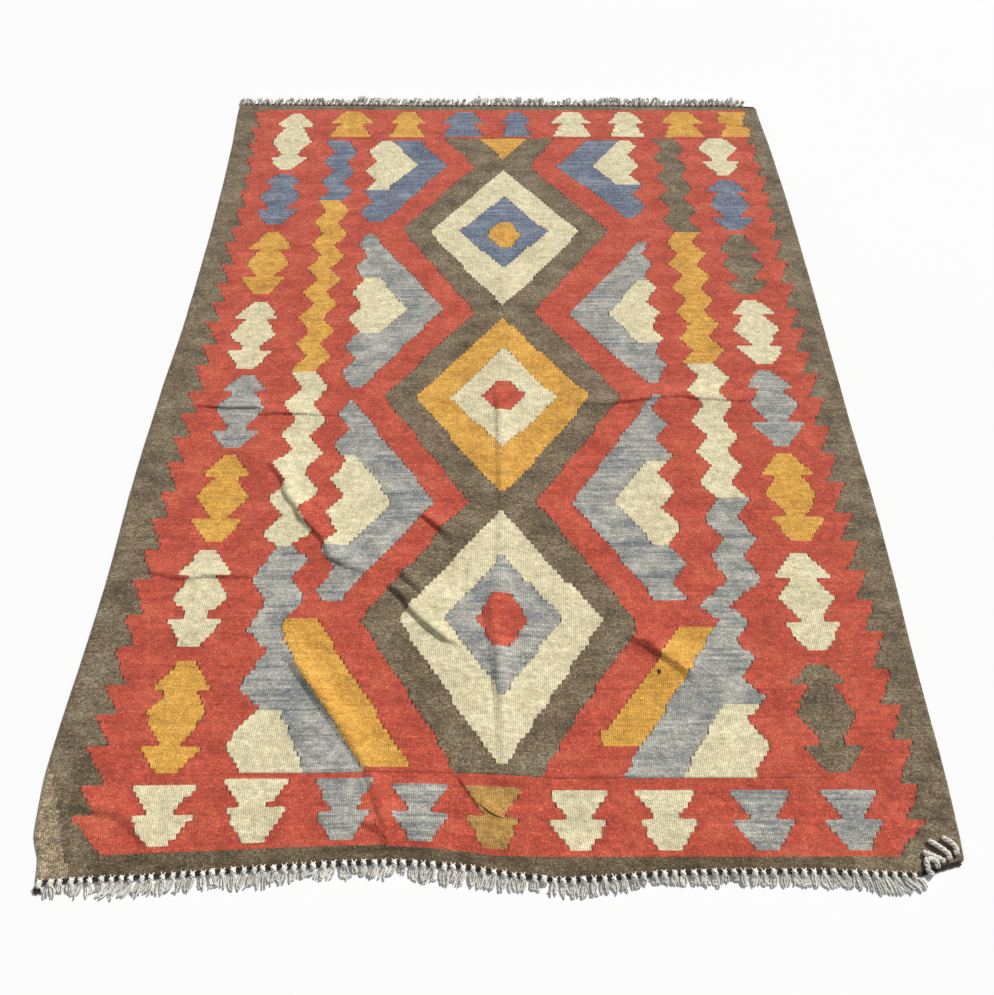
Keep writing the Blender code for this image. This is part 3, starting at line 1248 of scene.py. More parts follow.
def weave_group():
    """Weft-faced weave: warps as ribs, and the wefts over them as beads, set over by half rib by rib."""
    name = "Weft-faced weave"
    if name in bpy.data.node_groups:
        return bpy.data.node_groups[name]
    inputs = (("Weave", VECTOR, (0.0, 0.0, 0.0)), ("Unevenness", FLOAT, 0.5))
    tree, given, result = new_group(name, inputs, STRUCTURE)
    split = node(tree, "ShaderNodeSeparateXYZ", {"Vector": given["Weave"]})
    warp, weft = split.outputs["X"], split.outputs["Y"]
    sway = drawn_out_noise(tree, warp, weft, 0.03, 0.02, detail=2.0, roughness=0.5)
    sway = maths(tree, "SUBTRACT", sway, 0.5)
    weft = maths(tree, "MULTIPLY_ADD", sway, maths(tree, "MULTIPLY", given["Unevenness"], 6.0), weft)

    rib = maths(tree, "SQRT", arch(tree, through_step(tree, warp)))
    rib_number = maths(tree, "FLOOR", warp)
    offset = maths(tree, "MULTIPLY", maths(tree, "FLOORED_MODULO", rib_number, 2.0), 0.5)
    bead_place = maths(tree, "ADD", weft, offset)
    bead = arch(tree, through_step(tree, bead_place))
    height = maths(tree, "MULTIPLY", rib, maths(tree, "MULTIPLY_ADD", bead, 0.3, 0.7))
    # Small puckers: noise that raises the relief and also paints shade and light into the colour.
    small_puckers = drawn_out_noise(tree, warp, weft, 0.20, 0.12, layer=3.0)
    feed(tree, maths(tree, "MULTIPLY_ADD", small_puckers, 3.4, height), result["Height"])
    # Painted shade: darker in the valleys between the ribs, then painted shade and light of the small
    # puckers.
    shade = remap(tree, height, 0.10, 0.95, 0.80, 1.05)
    shade = maths(tree, "MULTIPLY", shade, remap(tree, small_puckers, 0.28, 0.72, 0.74, 1.24))
    feed(tree, shade, result["Shade"])

    cell = vector(tree, rib_number, maths(tree, "FLOOR", bead_place))
    feed(tree, random_value(tree, cell), result["Bead"])
    streak = drawn_out_noise(tree, warp, weft, 0.016, 0.26, roughness=0.62)
    feed(tree, streak, result["Streak"])
    cloud = drawn_out_noise(tree, warp, weft, 0.05, 0.03, layer=7.0, detail=4.0, roughness=0.6)
    feed(tree, cloud, result["Cloud"])
    return tree


def spun_wool_group():
    """Hand-spun wool: paler and deeper streaks and clouds of one dye, and flecks of other fibre."""
    name = "Hand-spun wool"
    if name in bpy.data.node_groups:
        return bpy.data.node_groups[name]
    inputs = (
        ("Colour", COLOUR, (0.5, 0.5, 0.5, 1.0)),
        ("Pale", COLOUR, (0.7, 0.7, 0.7, 1.0)),
        ("Deep", COLOUR, (0.3, 0.3, 0.3, 1.0)),
        ("Fleck", COLOUR, (0.8, 0.8, 0.8, 1.0)),
        ("Streaks", FLOAT, 0.5),
        ("Clouds", FLOAT, 0.3),
        ("Flecks", FLOAT, 0.1),
        ("Fleck strength", FLOAT, 0.5),
        ("Heather", FLOAT, 0.1),
        ("Shade", FLOAT, 1.0),
        ("Bead", FLOAT, 0.5),
        ("Streak", FLOAT, 0.5),
        ("Cloud", FLOAT, 0.5),
        ("Slit", FLOAT, 0.0),
    )
    tree, given, result = new_group(name, inputs, (("Colour", COLOUR), ("Roughness", FLOAT)))
    colour = given["Colour"]
    for mask, low, high, strength, tint in (
        ("Streak", 0.52, 0.72, "Streaks", "Pale"),
        ("Streak", 0.48, 0.30, "Streaks", "Deep"),
        ("Cloud", 0.50, 0.72, "Clouds", "Pale"),
        ("Cloud", 0.50, 0.28, "Clouds", "Deep"),
    ):
        amount = maths(tree, "MULTIPLY", remap(tree, given[mask], low, high), given[strength])
        colour = blend_colour(tree, amount, colour, given[tint])
    chosen = maths(tree, "GREATER_THAN", given["Bead"], maths(tree, "SUBTRACT", 1.0, given["Flecks"]))
    amount = maths(tree, "MULTIPLY", chosen, given["Fleck strength"])
    colour = blend_colour(tree, amount, colour, given["Fleck"])
    # Below, the structure's painted shade is multiplied by a tone that differs at random from bead to bead.
    heather = maths(tree, "MULTIPLY_ADD", maths(tree, "SUBTRACT", given["Bead"], 0.5), given["Heather"], 1.0)
    shade = maths(tree, "MULTIPLY", given["Shade"], heather)
    # Painted shade in the gaps of the slits, and the dark lines of weft, darken the colour by the cloth's
    # marks.
    shade = maths(tree, "MULTIPLY", shade, remap(tree, given["Slit"], 0.48, 0.80, 1.0, 0.14))
    colour = blend_colour(tree, 1.0, colour, vector(tree, shade, shade, shade), "MULTIPLY")
    feed(tree, colour, result["Colour"])
    feed(tree, remap(tree, given["Bead"], 0.0, 1.0, 0.80, 0.95), result["Roughness"])
    return tree


def cord_group():
    """A plied cord: two plies that wind round each other along it, with a fine fibre grain."""
    name = "Plied cord"
    if name in bpy.data.node_groups:
        return bpy.data.node_groups[name]
    inputs = (
        ("Weave", VECTOR, (0.0, 0.0, 0.0)),
        ("Place", VECTOR, (0.0, 0.0, 0.0)),
        ("Tone", FLOAT, 1.0),
        ("Twists per metre", FLOAT, 170.0),
    )
    tree, given, result = new_group(name, inputs, STRUCTURE)
    split = node(tree, "ShaderNodeSeparateXYZ", {"Vector": given["Weave"]})
    around, along = split.outputs["X"], split.outputs["Y"]
    turn = maths(tree, "MULTIPLY_ADD", along, given["Twists per metre"], maths(tree, "MULTIPLY", around, 2.0))
    ply = arch(tree, through_step(tree, turn))
    grain = drawn_out_noise(tree, around, along, 9.0, 240.0)
    feed(tree, maths(tree, "MULTIPLY_ADD", grain, 0.5, ply), result["Height"])
    # Painted shade: darker in the groove between the plies, times the cord's own tone.
    shade = maths(tree, "MULTIPLY", remap(tree, ply, 0.0, 0.8, 0.80, 1.03), given["Tone"])
    feed(tree, shade, result["Shade"])
    cell = vector(tree, given["Tone"], maths(tree, "FLOOR", turn))
    feed(tree, random_value(tree, cell), result["Bead"])
    feed(tree, grain, result["Streak"])
    feed(tree, smooth_noise(tree, given["Place"], 26.0, 3.0, 0.6), result["Cloud"])
    return tree


# ---- wools ----

# How strongly the streaks, clouds and flecks of the brown and the gold wools show.
BROWN_GRAIN = (0.45, 0.8, 0.05, 0.25, 1.0)
GOLD_GRAIN = (0.6, 0.65, 0.06, 0.35, 0.45)
# Each wool's paler and deeper dye lots and its flecks, then how strongly each shows.
WOOL_LOOKS = table(
    "wool pale deep fleck streaks clouds flecks fleck_strength heather",
    ("red", (0.7, 0.16, 0.09), (0.35, 0.046, 0.028), (0.68, 0.23, 0.14), 0.45, 0.65, 0.05, 0.3, 0.5),
    ("brown", (0.3, 0.25, 0.17), (0.072, 0.056, 0.038), (0.38, 0.33, 0.24), *BROWN_GRAIN),
    ("pale_brown", (0.48, 0.41, 0.29), (0.17, 0.134, 0.088), (0.52, 0.46, 0.35), *BROWN_GRAIN),
    ("dark_brown", (0.215, 0.175, 0.11), (0.05, 0.039, 0.024), (0.28, 0.24, 0.17), *BROWN_GRAIN),
    ("cream", (0.9, 0.83, 0.59), (0.58, 0.52, 0.33), (0.43, 0.38, 0.23), 0.4, 0.6, 0.08, 0.4, 0.4),
    ("grey", (0.62, 0.6, 0.53), (0.135, 0.165, 0.195), (0.6, 0.58, 0.54), 0.9, 0.75, 0.08, 0.35, 0.5),
    # The slate wool: the grey wool painted as it looks in shade, deeper and bluer.
    ("slate", (0.38, 0.41, 0.49), (0.08, 0.096, 0.155), (0.42, 0.44, 0.49), 0.75, 0.5, 0.08, 0.35, 0.5),
    ("gold", (0.85, 0.5, 0.11), (0.48, 0.205, 0.036), (0.8, 0.54, 0.19), *GOLD_GRAIN),
    ("ochre", (0.64, 0.39, 0.115), (0.3, 0.15, 0.038), (0.62, 0.43, 0.19), *GOLD_GRAIN),
    ("cord", (0.93, 0.905, 0.84), (0.52, 0.49, 0.44), (0.4, 0.36, 0.3), 0.5, 0.6, 0.05, 0.25, 0.2),
    # Near black: the dark weft's own colour, and painted shade of the gaps between the knots.
    ("dark_cord", (0.08, 0.062, 0.042), (0.014, 0.011, 0.009), (0.14, 0.12, 0.09), 0.5, 0.5, 0.1, 0.3, 0.4),
)


def opaque(colour):
    return (colour[0], colour[1], colour[2], 1.0)


def read_attribute(tree, name):
    return node(tree, "ShaderNodeAttribute", attribute_name=name, attribute_type="GEOMETRY").outputs["Fac"]


def make_wool(label, looks, colour, structure, relief, bump):
    """A wool: its colours through the hand-spun group, its relief from the given structure group."""
    material = bpy.data.materials.new(label)
    material.use_nodes = True
    tree = material.node_tree
    tree.nodes.clear()
    readings = {"Weave": node(tree, "ShaderNodeUVMap", uv_map="Weave").outputs["UV"]}
    if "Tone" in structure.interface.items_tree:
        readings["Tone"] = read_attribute(tree, "tone")
        readings["Place"] = node(tree, "ShaderNodeTexCoord").outputs["Object"]
    shape = node(tree, "ShaderNodeGroup", readings, node_tree=structure)
    feeds = {
        "Colour": opaque(colour),
        "Pale": opaque(looks.pale),
        "Deep": opaque(looks.deep),
        "Fleck": opaque(looks.fleck),
        "Streaks": looks.streaks,
        "Clouds": looks.clouds,
        "Flecks": looks.flecks,
        "Fleck strength": looks.fleck_strength,
        "Heather": looks.heather,
        "Slit": read_attribute(tree, "slit"),
    }
    for name in ("Shade", "Bead", "Streak", "Cloud"):
        feeds[name] = shape.outputs[name]
    spun = node(tree, "ShaderNodeGroup", feeds, node_tree=spun_wool_group())
    feeds = {"Height": shape.outputs["Height"], "Strength": bump, "Distance": relief}
    relieved = node(tree, "ShaderNodeBump", feeds)
    feeds = {
        "Base Color": spun.outputs["Colour"],
        "Roughness": spun.outputs["Roughness"],
        "Normal": relieved.outputs["Normal"],
        "Specular IOR Level": 0.18,
        "Sheen Weight": 0.12,
        "Sheen Roughness": 0.6,
    }
    shader = node(tree, "ShaderNodeBsdfPrincipled", feeds)
    node(tree, "ShaderNodeOutputMaterial", {"Surface": shader.outputs["BSDF"]})
    return material


def wool_material(name, use="wool"):
    """A wool as it is woven into the cloth, or with "yarn" as loose plied yarn, made once."""
    label = f"{name}_{use}"
    if label in bpy.data.materials:
        return bpy.data.materials[label]
    rug = bpy.context.scene.kilim_rug
    looks = next(row for row in WOOL_LOOKS if row.wool == name)
    colour = getattr(rug.wools, name)
    if use == "yarn":
        return make_wool(label, looks, colour, cord_group(), rug.sizes.ply_height, 0.8)
    return make_wool(label, looks, colour, weave_group(), rug.sizes.rib_height, 0.9)


# ---- fringes ----

KNOT_PITCH = 0.0157
# Where the near and the far row of knots end at the right, in x.
NEAR_TEETH_END = 0.660
FAR_TEETH_END = 0.700
TUBE_SIDES = 6
CORE_SIDES = 8
THIN_SIDES = 5
# How far the tip of a cord stands out, in radii, and how much of its cell a tube fills in the baking map.
TIP_LENGTH = 0.5
BAKE_ROOM = 0.88
UP = Vector((0.0, 0.0, 1.0))

# What varies from knot to knot, tassel to tassel, strand to strand and stitch to stitch: its least and most.
VARIES = {
    "knot_aside": (-0.0014, 0.0014),
    "knot_out": (-0.0012, 0.0012),
    "knot_size": (0.88, 1.12),
    "knot_tone": (0.92, 1.06),
    "ear_aside": (-0.25, 0.25),
    "ear_length": (0.5, 1.4),
    "fan": (0.45, 1.00),
    "turn": (1.3, 2.3),
    "bow": (-0.55, 0.55),
    "loft": (0.7, 1.2),
    "strand_length": (0.84, 1.10),
    "strand_bow": (-0.35, 0.35),
    "strand_curl": (1.2, 3.0),
    "strand_thickness": (0.85, 1.15),
    "strand_tone": (0.80, 1.08),
    "edge_tone": (0.90, 1.05),
    "folded_tone": (0.84, 0.98),
    "stitch_aside": (-0.3, 0.3),
    "stitch_tone": (1.20, 1.50),
    "stray_tone": (0.8, 1.0),
}
# A knot, in knot sizes: half its length, the radii of its core, and the radius, the slant and the half
# thickness of the loop round it.
KNOT_HALF = 0.62
KNOT_CORE = (0.26, 0.45, 0.52, 0.44, 0.28)
KNOT_LOOP = 0.45
KNOT_SLANT = 0.30
KNOT_CORD = 0.17
LOOP_STEPS = 10
# How high a knot's middle lies and how far beyond it the tassel starts, in knot sizes, and how long a tassel
# is at least.
KNOT_SEAT = 0.56
TASSEL_START = 0.35
LEAST_TASSEL = 0.006
# How much lighter the loop round a knot is than the knot, and how much darker the tassel is.
LOOP_TONE = 1.04
TASSEL_TONE = 0.94
# The radius of a warp end between the cloth and its knot, in strand thicknesses.
EAR_RADIUS = 0.38
# How many strands of the first near tassel are dark.
DARK_STRANDS = 4
# A strand of a tassel: its stretches, and the end part of it that may curl, as a share of its length, with
# the start of that part in such shares.
STRAND_STEPS = 9
CURL_SHARE = 0.45
CURL_START = 1.2222
# The twined cord along a woven end: how far it stays from the selvedges, how far apart its points lie, how
# much it turns from one to the next, and how far out its two rows lie, in its own thicknesses.
EDGE_INSET = 0.004
EDGE_STEP = 0.0036
EDGE_TURN = 0.9
EDGE_ROWS = (0.3, 1.5)


class Cords:
    """Collects tubes of cord and turns them into one mesh."""

    def __init__(self):
        self.points = []
        self.faces = []
        self.uvs = []
        self.tones = []
        self.materials = []
        self.tube_of_face = []
        self.tubes = 0

    def add(self, path, radii, tone, material=0, sides=TUBE_SIDES):
        """One tube along a path, closed at both ends by a tip."""
        path = [Vector(point) for point in path]
        first = len(self.points)
        side = UP
        length = 0.0
        lengths = []
        for index, point in enumerate(path):
            before = path[max(index - 1, 0)]
            after = path[min(index + 1, len(path) - 1)]
            heading = (after - before).normalized()
            side = side - heading * side.dot(heading)
            side = side.normalized() if side.length > 1e-4 else heading.orthogonal().normalized()
            other = heading.cross(side)
            if index:
                length += (point - path[index - 1]).length
            lengths.append(length)
            for step in range(sides):
                angle = 2.0 * math.pi * step / sides
                away = side * math.cos(angle) + other * math.sin(angle)
                self.points.append(point + away * radii[index])
        self.points.append(path[0] - (path[1] - path[0]).normalized() * radii[0] * TIP_LENGTH)
        self.points.append(path[-1] + (path[-1] - path[-2]).normalized() * radii[-1] * TIP_LENGTH)
        start_tip, end_tip = len(self.points) - 2, len(self.points) - 1
        self.tones += [tone] * (len(path) * sides + 2)
        for ring in range(len(path) - 1):
            for step in range(sides):
                a = first + ring * sides + step
                b = first + ring * sides + (step + 1) % sides
                self.face((a, b, b + sides, a + sides), material)
                low, high = step / sides, (step + 1) / sides
                self.uvs += [
                    (low, lengths[ring]),
                    (high, lengths[ring]),
                    (high, lengths[ring + 1]),
                    (low, lengths[ring + 1]),
                ]
        last = first + (len(path) - 1) * sides
        for step in range(sides):
            after = (step + 1) % sides
            low, high = step / sides, (step + 1) / sides
            middle = (low + high) / 2.0
            self.face((first + after, first + step, start_tip), material)
            self.uvs += [(high, 0.0), (low, 0.0), (middle, -radii[0])]
            self.face((last + step, last + after, end_tip), material)
            self.uvs += [(low, length), (high, length), (middle, length + radii[-1])]
        self.tubes += 1

    def face(self, corners, material):
        self.faces.append(corners)
        self.materials.append(material)
        self.tube_of_face.append(self.tubes)

    def made(self, name, yarns):
        """The tubes as one object, in these yarns."""
        mesh = bpy.data.meshes.new(name)
        mesh.from_pydata([tuple(point) for point in self.points], [], self.faces)
        for yarn in yarns:
            mesh.materials.append(wool_material(yarn, "yarn"))
        mesh.polygons.foreach_set("material_index", self.materials)
        mesh.polygons.foreach_set("use_smooth", [True] * len(self.faces))
        mesh.attributes.new("tone", "FLOAT", "POINT").data.foreach_set("value", self.tones)
        lay_maps(mesh, np.array(self.uvs), self.laid_flat())
        return add_object(name, mesh)

    def laid_flat(self):
        """The baking map: each tube in a cell of its own of a square."""
        cells = math.ceil(math.sqrt(self.tubes))
        uvs = np.array(self.uvs)
        tube = np.repeat(self.tube_of_face, [len(face) for face in self.faces])
        longest = np.zeros(self.tubes)
        np.maximum.at(longest, tube, uvs[:, 1] + 1.0 * MM)
        share = np.clip((uvs[:, 1] + 2.0 * MM) / (longest[tube] + 3.0 * MM), 0.0, 1.0)
        margin = (1.0 - BAKE_ROOM) / 2.0
        across = (tube % cells + margin) / cells + uvs[:, 0] * BAKE_ROOM / cells
        along = (tube // cells + margin) / cells + share * BAKE_ROOM / cells
        return np.stack((across, along), axis=-1)


def vary(chance, name):
    """A value drawn between the least and the most of what varies."""
    return chance.uniform(*VARIES[name])


def height_on(cloth, x, y):
    """The height of the cloth's top at a place, or of the floor beside it."""
    found, place, _, _ = cloth.ray_cast(Vector((x, y, 1.0)), -UP)
    return place.z if found else 0.0


def add_knot(cords, centre, out, size, chance, tone):
    """A tied knot: a fat core along the tassel, and a loop wrapped round it on a slant."""
    ends = [centre - out * size * KNOT_HALF, centre, centre + out * size * KNOT_HALF]
    cords.add(smooth_path(ends, 2), [size * radius for radius in KNOT_CORE], tone, sides=CORE_SIDES)
    turn = chance.choice((-1.0, 1.0))
    loop = []
    for step in range(LOOP_STEPS + 1):
        angle = 2.0 * math.pi * step / LOOP_STEPS
        around = Vector((math.cos(angle), 0.0, math.sin(angle)))
        loop.append(centre + around * size * KNOT_LOOP + out * size * KNOT_SLANT * math.cos(angle) * turn)
    cords.add(loop, [size * KNOT_CORD] * len(loop), tone * LOOP_TONE)


def add_ears(cords, cloth, centre, out, edge, sizes, chance, tone):
    """The warp ends that run from the cloth into a knot, spread like ears."""
    radius = sizes.strand_thickness * EAR_RADIUS
    for place in (-1.0, 1.0):
        x = centre.x + (place + vary(chance, "ear_aside")) * sizes.ear_spread
        y = edge - out.y * sizes.ear_length * vary(chance, "ear_length")
        foot = Vector((x, y, height_on(cloth, x, y) + radius * 0.4))
        middle = foot.lerp(centre, 0.5) + UP * sizes.ear_rise
        cords.add([foot, middle, centre], [radius * 0.7, radius, radius], tone, sides=THIN_SIDES)


def add_tassel(cords, start, side, reach, lean, sizes, chance, tone, dark_ends=0):
    """The loose ends beyond a knot: strands that fan out and draw together again, some with a curled tip."""
    strands = sizes.tassel_strands
    fan = vary(chance, "fan")
    turn = vary(chance, "turn")
    bow = vary(chance, "bow")
    length = reach / max(math.cos(lean), 0.5)
    thicker, loft = 1.0, 0.0
    if side > 0:
        thicker = sizes.far_thickening
        loft = sizes.far_loft * vary(chance, "loft")
    for strand in range(strands):
        share = 2.0 * strand / (strands - 1) - 1.0
        own_length = length * vary(chance, "strand_length")
        own_bow = bow + vary(chance, "strand_bow")
        curl = chance.choice((0.0, 0.0, 0.0, 1.0)) * chance.choice((-1.0, 1.0)) * vary(chance, "strand_curl")
        layer = chance.choice((0.0, 0.0, 1.0))
        radius = sizes.strand_thickness / 2.0 * vary(chance, "strand_thickness") * thicker
        point = start + Vector((share * sizes.tassel_width * 0.24, 0.0, 0.0))
        path = [point.copy()]
        for step in range(1, STRAND_STEPS + 1):
            t = step / STRAND_STEPS
            curled = curl * max(0.0, t / CURL_SHARE - CURL_START) ** 1.5
            angle = lean + share * fan * (1.0 - turn * t) + own_bow * t + curled
            heading = Vector((math.sin(angle), side * math.cos(angle), 0.0))
            point = point + heading * own_length / STRAND_STEPS
            high = radius * (1.0 + 1.3 * layer * math.sin(math.pi * t))
            high += loft * math.sin(math.pi * t**0.8) * (0.5 + 0.5 * layer)
            point.z = high + (start.z - radius) * (1.0 - t) ** 3
            path.append(point.copy())
        radii = [radius * 0.8] + [radius] * (len(path) - 3) + [radius * 0.95, radius * 0.65]
        material = 1 if strand < dark_ends else 0
        cords.add(path, radii, tone * vary(chance, "strand_tone"), material)


def add_bundle(cords, cloth, points, width, tone):
    """A tassel that lies on the cloth: its strands twisted round each other along a few chosen points."""
    flat = smooth_path([Vector((x * MM, y * MM, 0.0)) for x, y in points], 5)
    radius = width * PLY_RADIUS
    for ply in range(BUNDLE_PLIES):
        path = []
        travelled = 0.0
        for index, point in enumerate(flat):
            if index:
                travelled += (point - flat[index - 1]).length
            before, after = flat[max(index - 1, 0)], flat[min(index + 1, len(flat) - 1)]
            heading = (after - before).normalized()
            angle = 2.0 * math.pi * (ply / BUNDLE_PLIES + travelled / BUNDLE_TWIST)
            aside = Vector((heading.y, -heading.x, 0.0)) * math.cos(angle) * width * PLY_ASIDE
            height = height_on(cloth, point.x, point.y) + radius + width * PLY_RISE * (1.0 + math.sin(angle))
            path.append(Vector((point.x, point.y, height)) + aside)
        radii = [radius * 0.7] + [radius] * (len(path) - 3) + [radius * 0.85, radius * 0.5]
        cords.add(path, radii, tone * (0.92 + 0.08 * ply))


# How far the near tassels reach past the cloth and how far they lean to the right, in radians.
NEAR_TASSELS = table(
    "x reach lean",
    (-0.715, 0.018, -0.10),
    (-0.692, 0.028, 0.10),
    (-0.672, 0.017, 0.55),
    (-0.650, 0.029, -0.35),
    (-0.634, 0.032, 0.10),
    (-0.622, 0.015, 0.30),
    (-0.606, 0.036, -0.35),
    (-0.560, 0.033, -0.45),
    (-0.470, 0.030, -0.30),
    (-0.450, 0.027, 0.20),
    (-0.400, 0.034, -0.40),
    (-0.330, 0.031, -0.20),
    (-0.300, 0.020, -0.55),
    (-0.262, 0.030, -0.45),
    (-0.235, 0.028, 0.15),
    (-0.222, 0.016, 0.20),
    (-0.200, 0.030, -0.10),
    (-0.165, 0.030, -0.30),
    (-0.150, 0.018, -0.40),
    (-0.120, 0.034, -0.25),
    (0.000, 0.033, -0.10),
    (0.060, 0.024, 0.10),
    (0.074, 0.014, 0.00),
    (0.092, 0.030, -0.05),
    (0.150, 0.031, 0.05),
    (0.200, 0.026, 0.15),
    (0.235, 0.018, 0.10),
    (0.290, 0.022, -0.10),
    (0.345, 0.027, 0.25),
    (0.362, 0.014, 0.20),
    (0.385, 0.024, 0.15),
    (0.480, 0.029, 0.10),
    (0.560, 0.028, 0.25),
    (0.600, 0.034, 0.45),
    (0.625, 0.030, 0.80),
    (0.660, 0.022, 1.00),
)

# The far tassels, in the clumps and gaps in which they lie.
FAR_TASSELS = table(
    "x reach lean",
    (-0.730, 0.022, -0.50),
    (-0.720, 0.028, -0.10),
    (-0.640, 0.030, 0.05),
    (-0.600, 0.026, -0.10),
    (-0.540, 0.030, 0.10),
    (-0.492, 0.029, 0.00),
    (-0.478, 0.039, 0.30),
    (-0.462, 0.022, 0.40),
    (-0.446, 0.021, -0.40),
    (-0.430, 0.037, -0.20),
    (-0.410, 0.026, 0.40),
    (-0.392, 0.043, 0.00),
    (-0.360, 0.045, 0.10),
    (-0.348, 0.013, 0.50),
    (-0.335, 0.043, 0.05),
    (-0.312, 0.045, 0.00),
    (-0.297, 0.028, 0.40),
    (-0.284, 0.039, -0.20),
    (-0.262, 0.030, 0.60),
    (-0.246, 0.015, 0.70),
    (-0.228, 0.043, 0.10),
    (-0.207, 0.016, 0.30),
    (-0.192, 0.041, -0.25),
    (-0.180, 0.030, 0.20),
    (-0.160, 0.043, 0.00),
    (-0.138, 0.026, 0.35),
    (-0.100, 0.024, -0.40),
    (-0.066, 0.022, 0.30),
    (-0.050, 0.051, 0.00),
    (-0.028, 0.039, 0.15),
    (-0.008, 0.013, 0.40),
    (0.010, 0.050, -0.20),
    (0.040, 0.041, 0.00),
    (0.070, 0.041, 0.10),
    (0.084, 0.013, 0.00),
    (0.098, 0.037, -0.15),
    (0.128, 0.039, 0.10),
    (0.139, 0.013, 0.00),
    (0.148, 0.045, 0.05),
    (0.160, 0.009, 0.00),
    (0.188, 0.009, 0.00),
    (0.200, 0.039, -0.25),
    (0.222, 0.028, 0.10),
    (0.246, 0.041, 0.00),
    (0.264, 0.013, 0.20),
    (0.282, 0.037, -0.20),
    (0.330, 0.039, 0.05),
    (0.362, 0.035, 0.10),
    (0.376, 0.013, 0.00),
    (0.392, 0.032, -0.30),
    (0.408, 0.045, -0.10),
    (0.430, 0.041, 0.00),
    (0.455, 0.041, 0.10),
    (0.466, 0.013, 0.00),
    (0.476, 0.028, -0.50),
    (0.490, 0.011, 0.00),
    (0.506, 0.030, -0.10),
    (0.560, 0.035, 0.10),
    (0.630, 0.030, -0.10),
    (0.666, 0.043, 0.00),
    (0.690, 0.024, 0.40),
    (0.710, 0.017, 0.70),
)


def fringe_places(side, teeth_end):
    """The middle of each knot along a woven end: x, and the y of the cloth's edge there."""
    left = selvedge(-1, side * WOVEN_LENGTH / 2.0)
    right = min(selvedge(1, side * WOVEN_LENGTH / 2.0), teeth_end)
    knots = round((right - left) / KNOT_PITCH)
    pitch = (right - left) / knots
    for knot in range(knots):
        x = left + pitch * (knot + 0.5)
        yield x, woven_end(side, x)


def read_tassel(rows, x):
    """The reach and lean of a tassel at a place between the rows."""
    places = [row.x for row in rows]
    return [float(np.interp(x, places, [getattr(row, name) for row in rows])) for name in ("reach", "lean")]


def make_fringe(name, side, teeth_end, rows, cloth, sizes, seed):
    """One fringe: a twined edge cord, then for each knot its warp ends, the knot and its tassel."""
    chance = random.Random(seed)
    cords = Cords()
    out = Vector((0.0, float(side), 0.0))
    for index, (x, edge) in enumerate(fringe_places(side, teeth_end)):
        x += vary(chance, "knot_aside")
        size = sizes.knot_size * vary(chance, "knot_size")
        away = sizes.knot_distance + vary(chance, "knot_out")
        centre = Vector((x, edge + side * away, size * KNOT_SEAT))
        tone = vary(chance, "knot_tone")
        reach, lean = read_tassel(rows, x)
        add_ears(cords, cloth, centre, out, edge, sizes, chance, tone)
        add_knot(cords, centre, out, size, chance, tone)
        start = centre + out * size * TASSEL_START
        beyond = max(reach - away - size * TASSEL_START, LEAST_TASSEL)
        dark_ends = DARK_STRANDS if side < 0 and index == 0 else 0
        add_tassel(cords, start, side, beyond, lean, sizes, chance, tone * TASSEL_TONE, dark_ends)
    add_edge_cord(cords, side, sizes, chance)
    if side < 0:
        for points in FOLDED_BACK:
            add_bundle(cords, cloth, points, sizes.folded_width, vary(chance, "folded_tone"))
    return cords.made(name, ("cord", "dark_cord"))


def add_edge_cord(cords, side, sizes, chance):
    """The dark wefts twined along the woven end, seen between the knots: two rows of two strands each. Their
    near-black colour is partly the weft's own and partly painted shade of the gaps between the knots.
    """
    left = selvedge(-1, side * WOVEN_LENGTH / 2.0) + EDGE_INSET
    right = selvedge(1, side * WOVEN_LENGTH / 2.0) - EDGE_INSET
    radius = sizes.edge_cord / 2.0
    for row, away in enumerate(EDGE_ROWS):
        for strand in (0.0, math.pi):
            path = []
            for index, x in enumerate(np.arange(left, right, EDGE_STEP)):
                angle = index * EDGE_TURN + strand + row
                y = woven_end(side, x) + side * radius * (2.0 * away + 0.5 * math.cos(angle))
                path.append(Vector((x, y, radius * (1.45 + 0.4 * math.sin(angle)))))
            cords.add(path, [radius] * len(path), vary(chance, "edge_tone"), 1, sides=THIN_SIDES)


# The last tassels at the near right corner, turned back over the cloth: the points that each lies along.
FOLDED_BACK = (
    ((724, -1028), (726, -1018), (720, -1009), (708, -1001)),
    ((711, -1036), (711, -1027), (700, -1016), (685, -1006)),
    ((703, -1039), (692, -1033), (681, -1028), (672, -1025)),
    ((690, -1048), (689, -1039), (681, -1035), (674, -1038), (674, -1049)),
    ((672, -1049), (676, -1054), (681, -1060)),
)
# How many plies such a tassel is twisted from, how far they run in one turn round each other, and in widths
# of the tassel their radius and how far they wind to the side and upwards.
BUNDLE_PLIES = 3
BUNDLE_TWIST = 0.024
PLY_RADIUS = 0.27
PLY_ASIDE = 0.23
PLY_RISE = 0.20


# ---- mends ----

# The darn across the waist of the near border's ochre motif: where its slanting stitches start and end, in
# millimetres, how broad they lie together, and how high they stand.
DARN = {"x0": -25, "y0": -943, "x1": 11, "y1": -965, "breadth": 13, "stitches": 7, "hump": 2.2}
# The stray knot of yarn on the right bar, in millimetres.
STRAY_KNOT = {"x": 286, "y": -710, "reach": 4, "ends": 5}


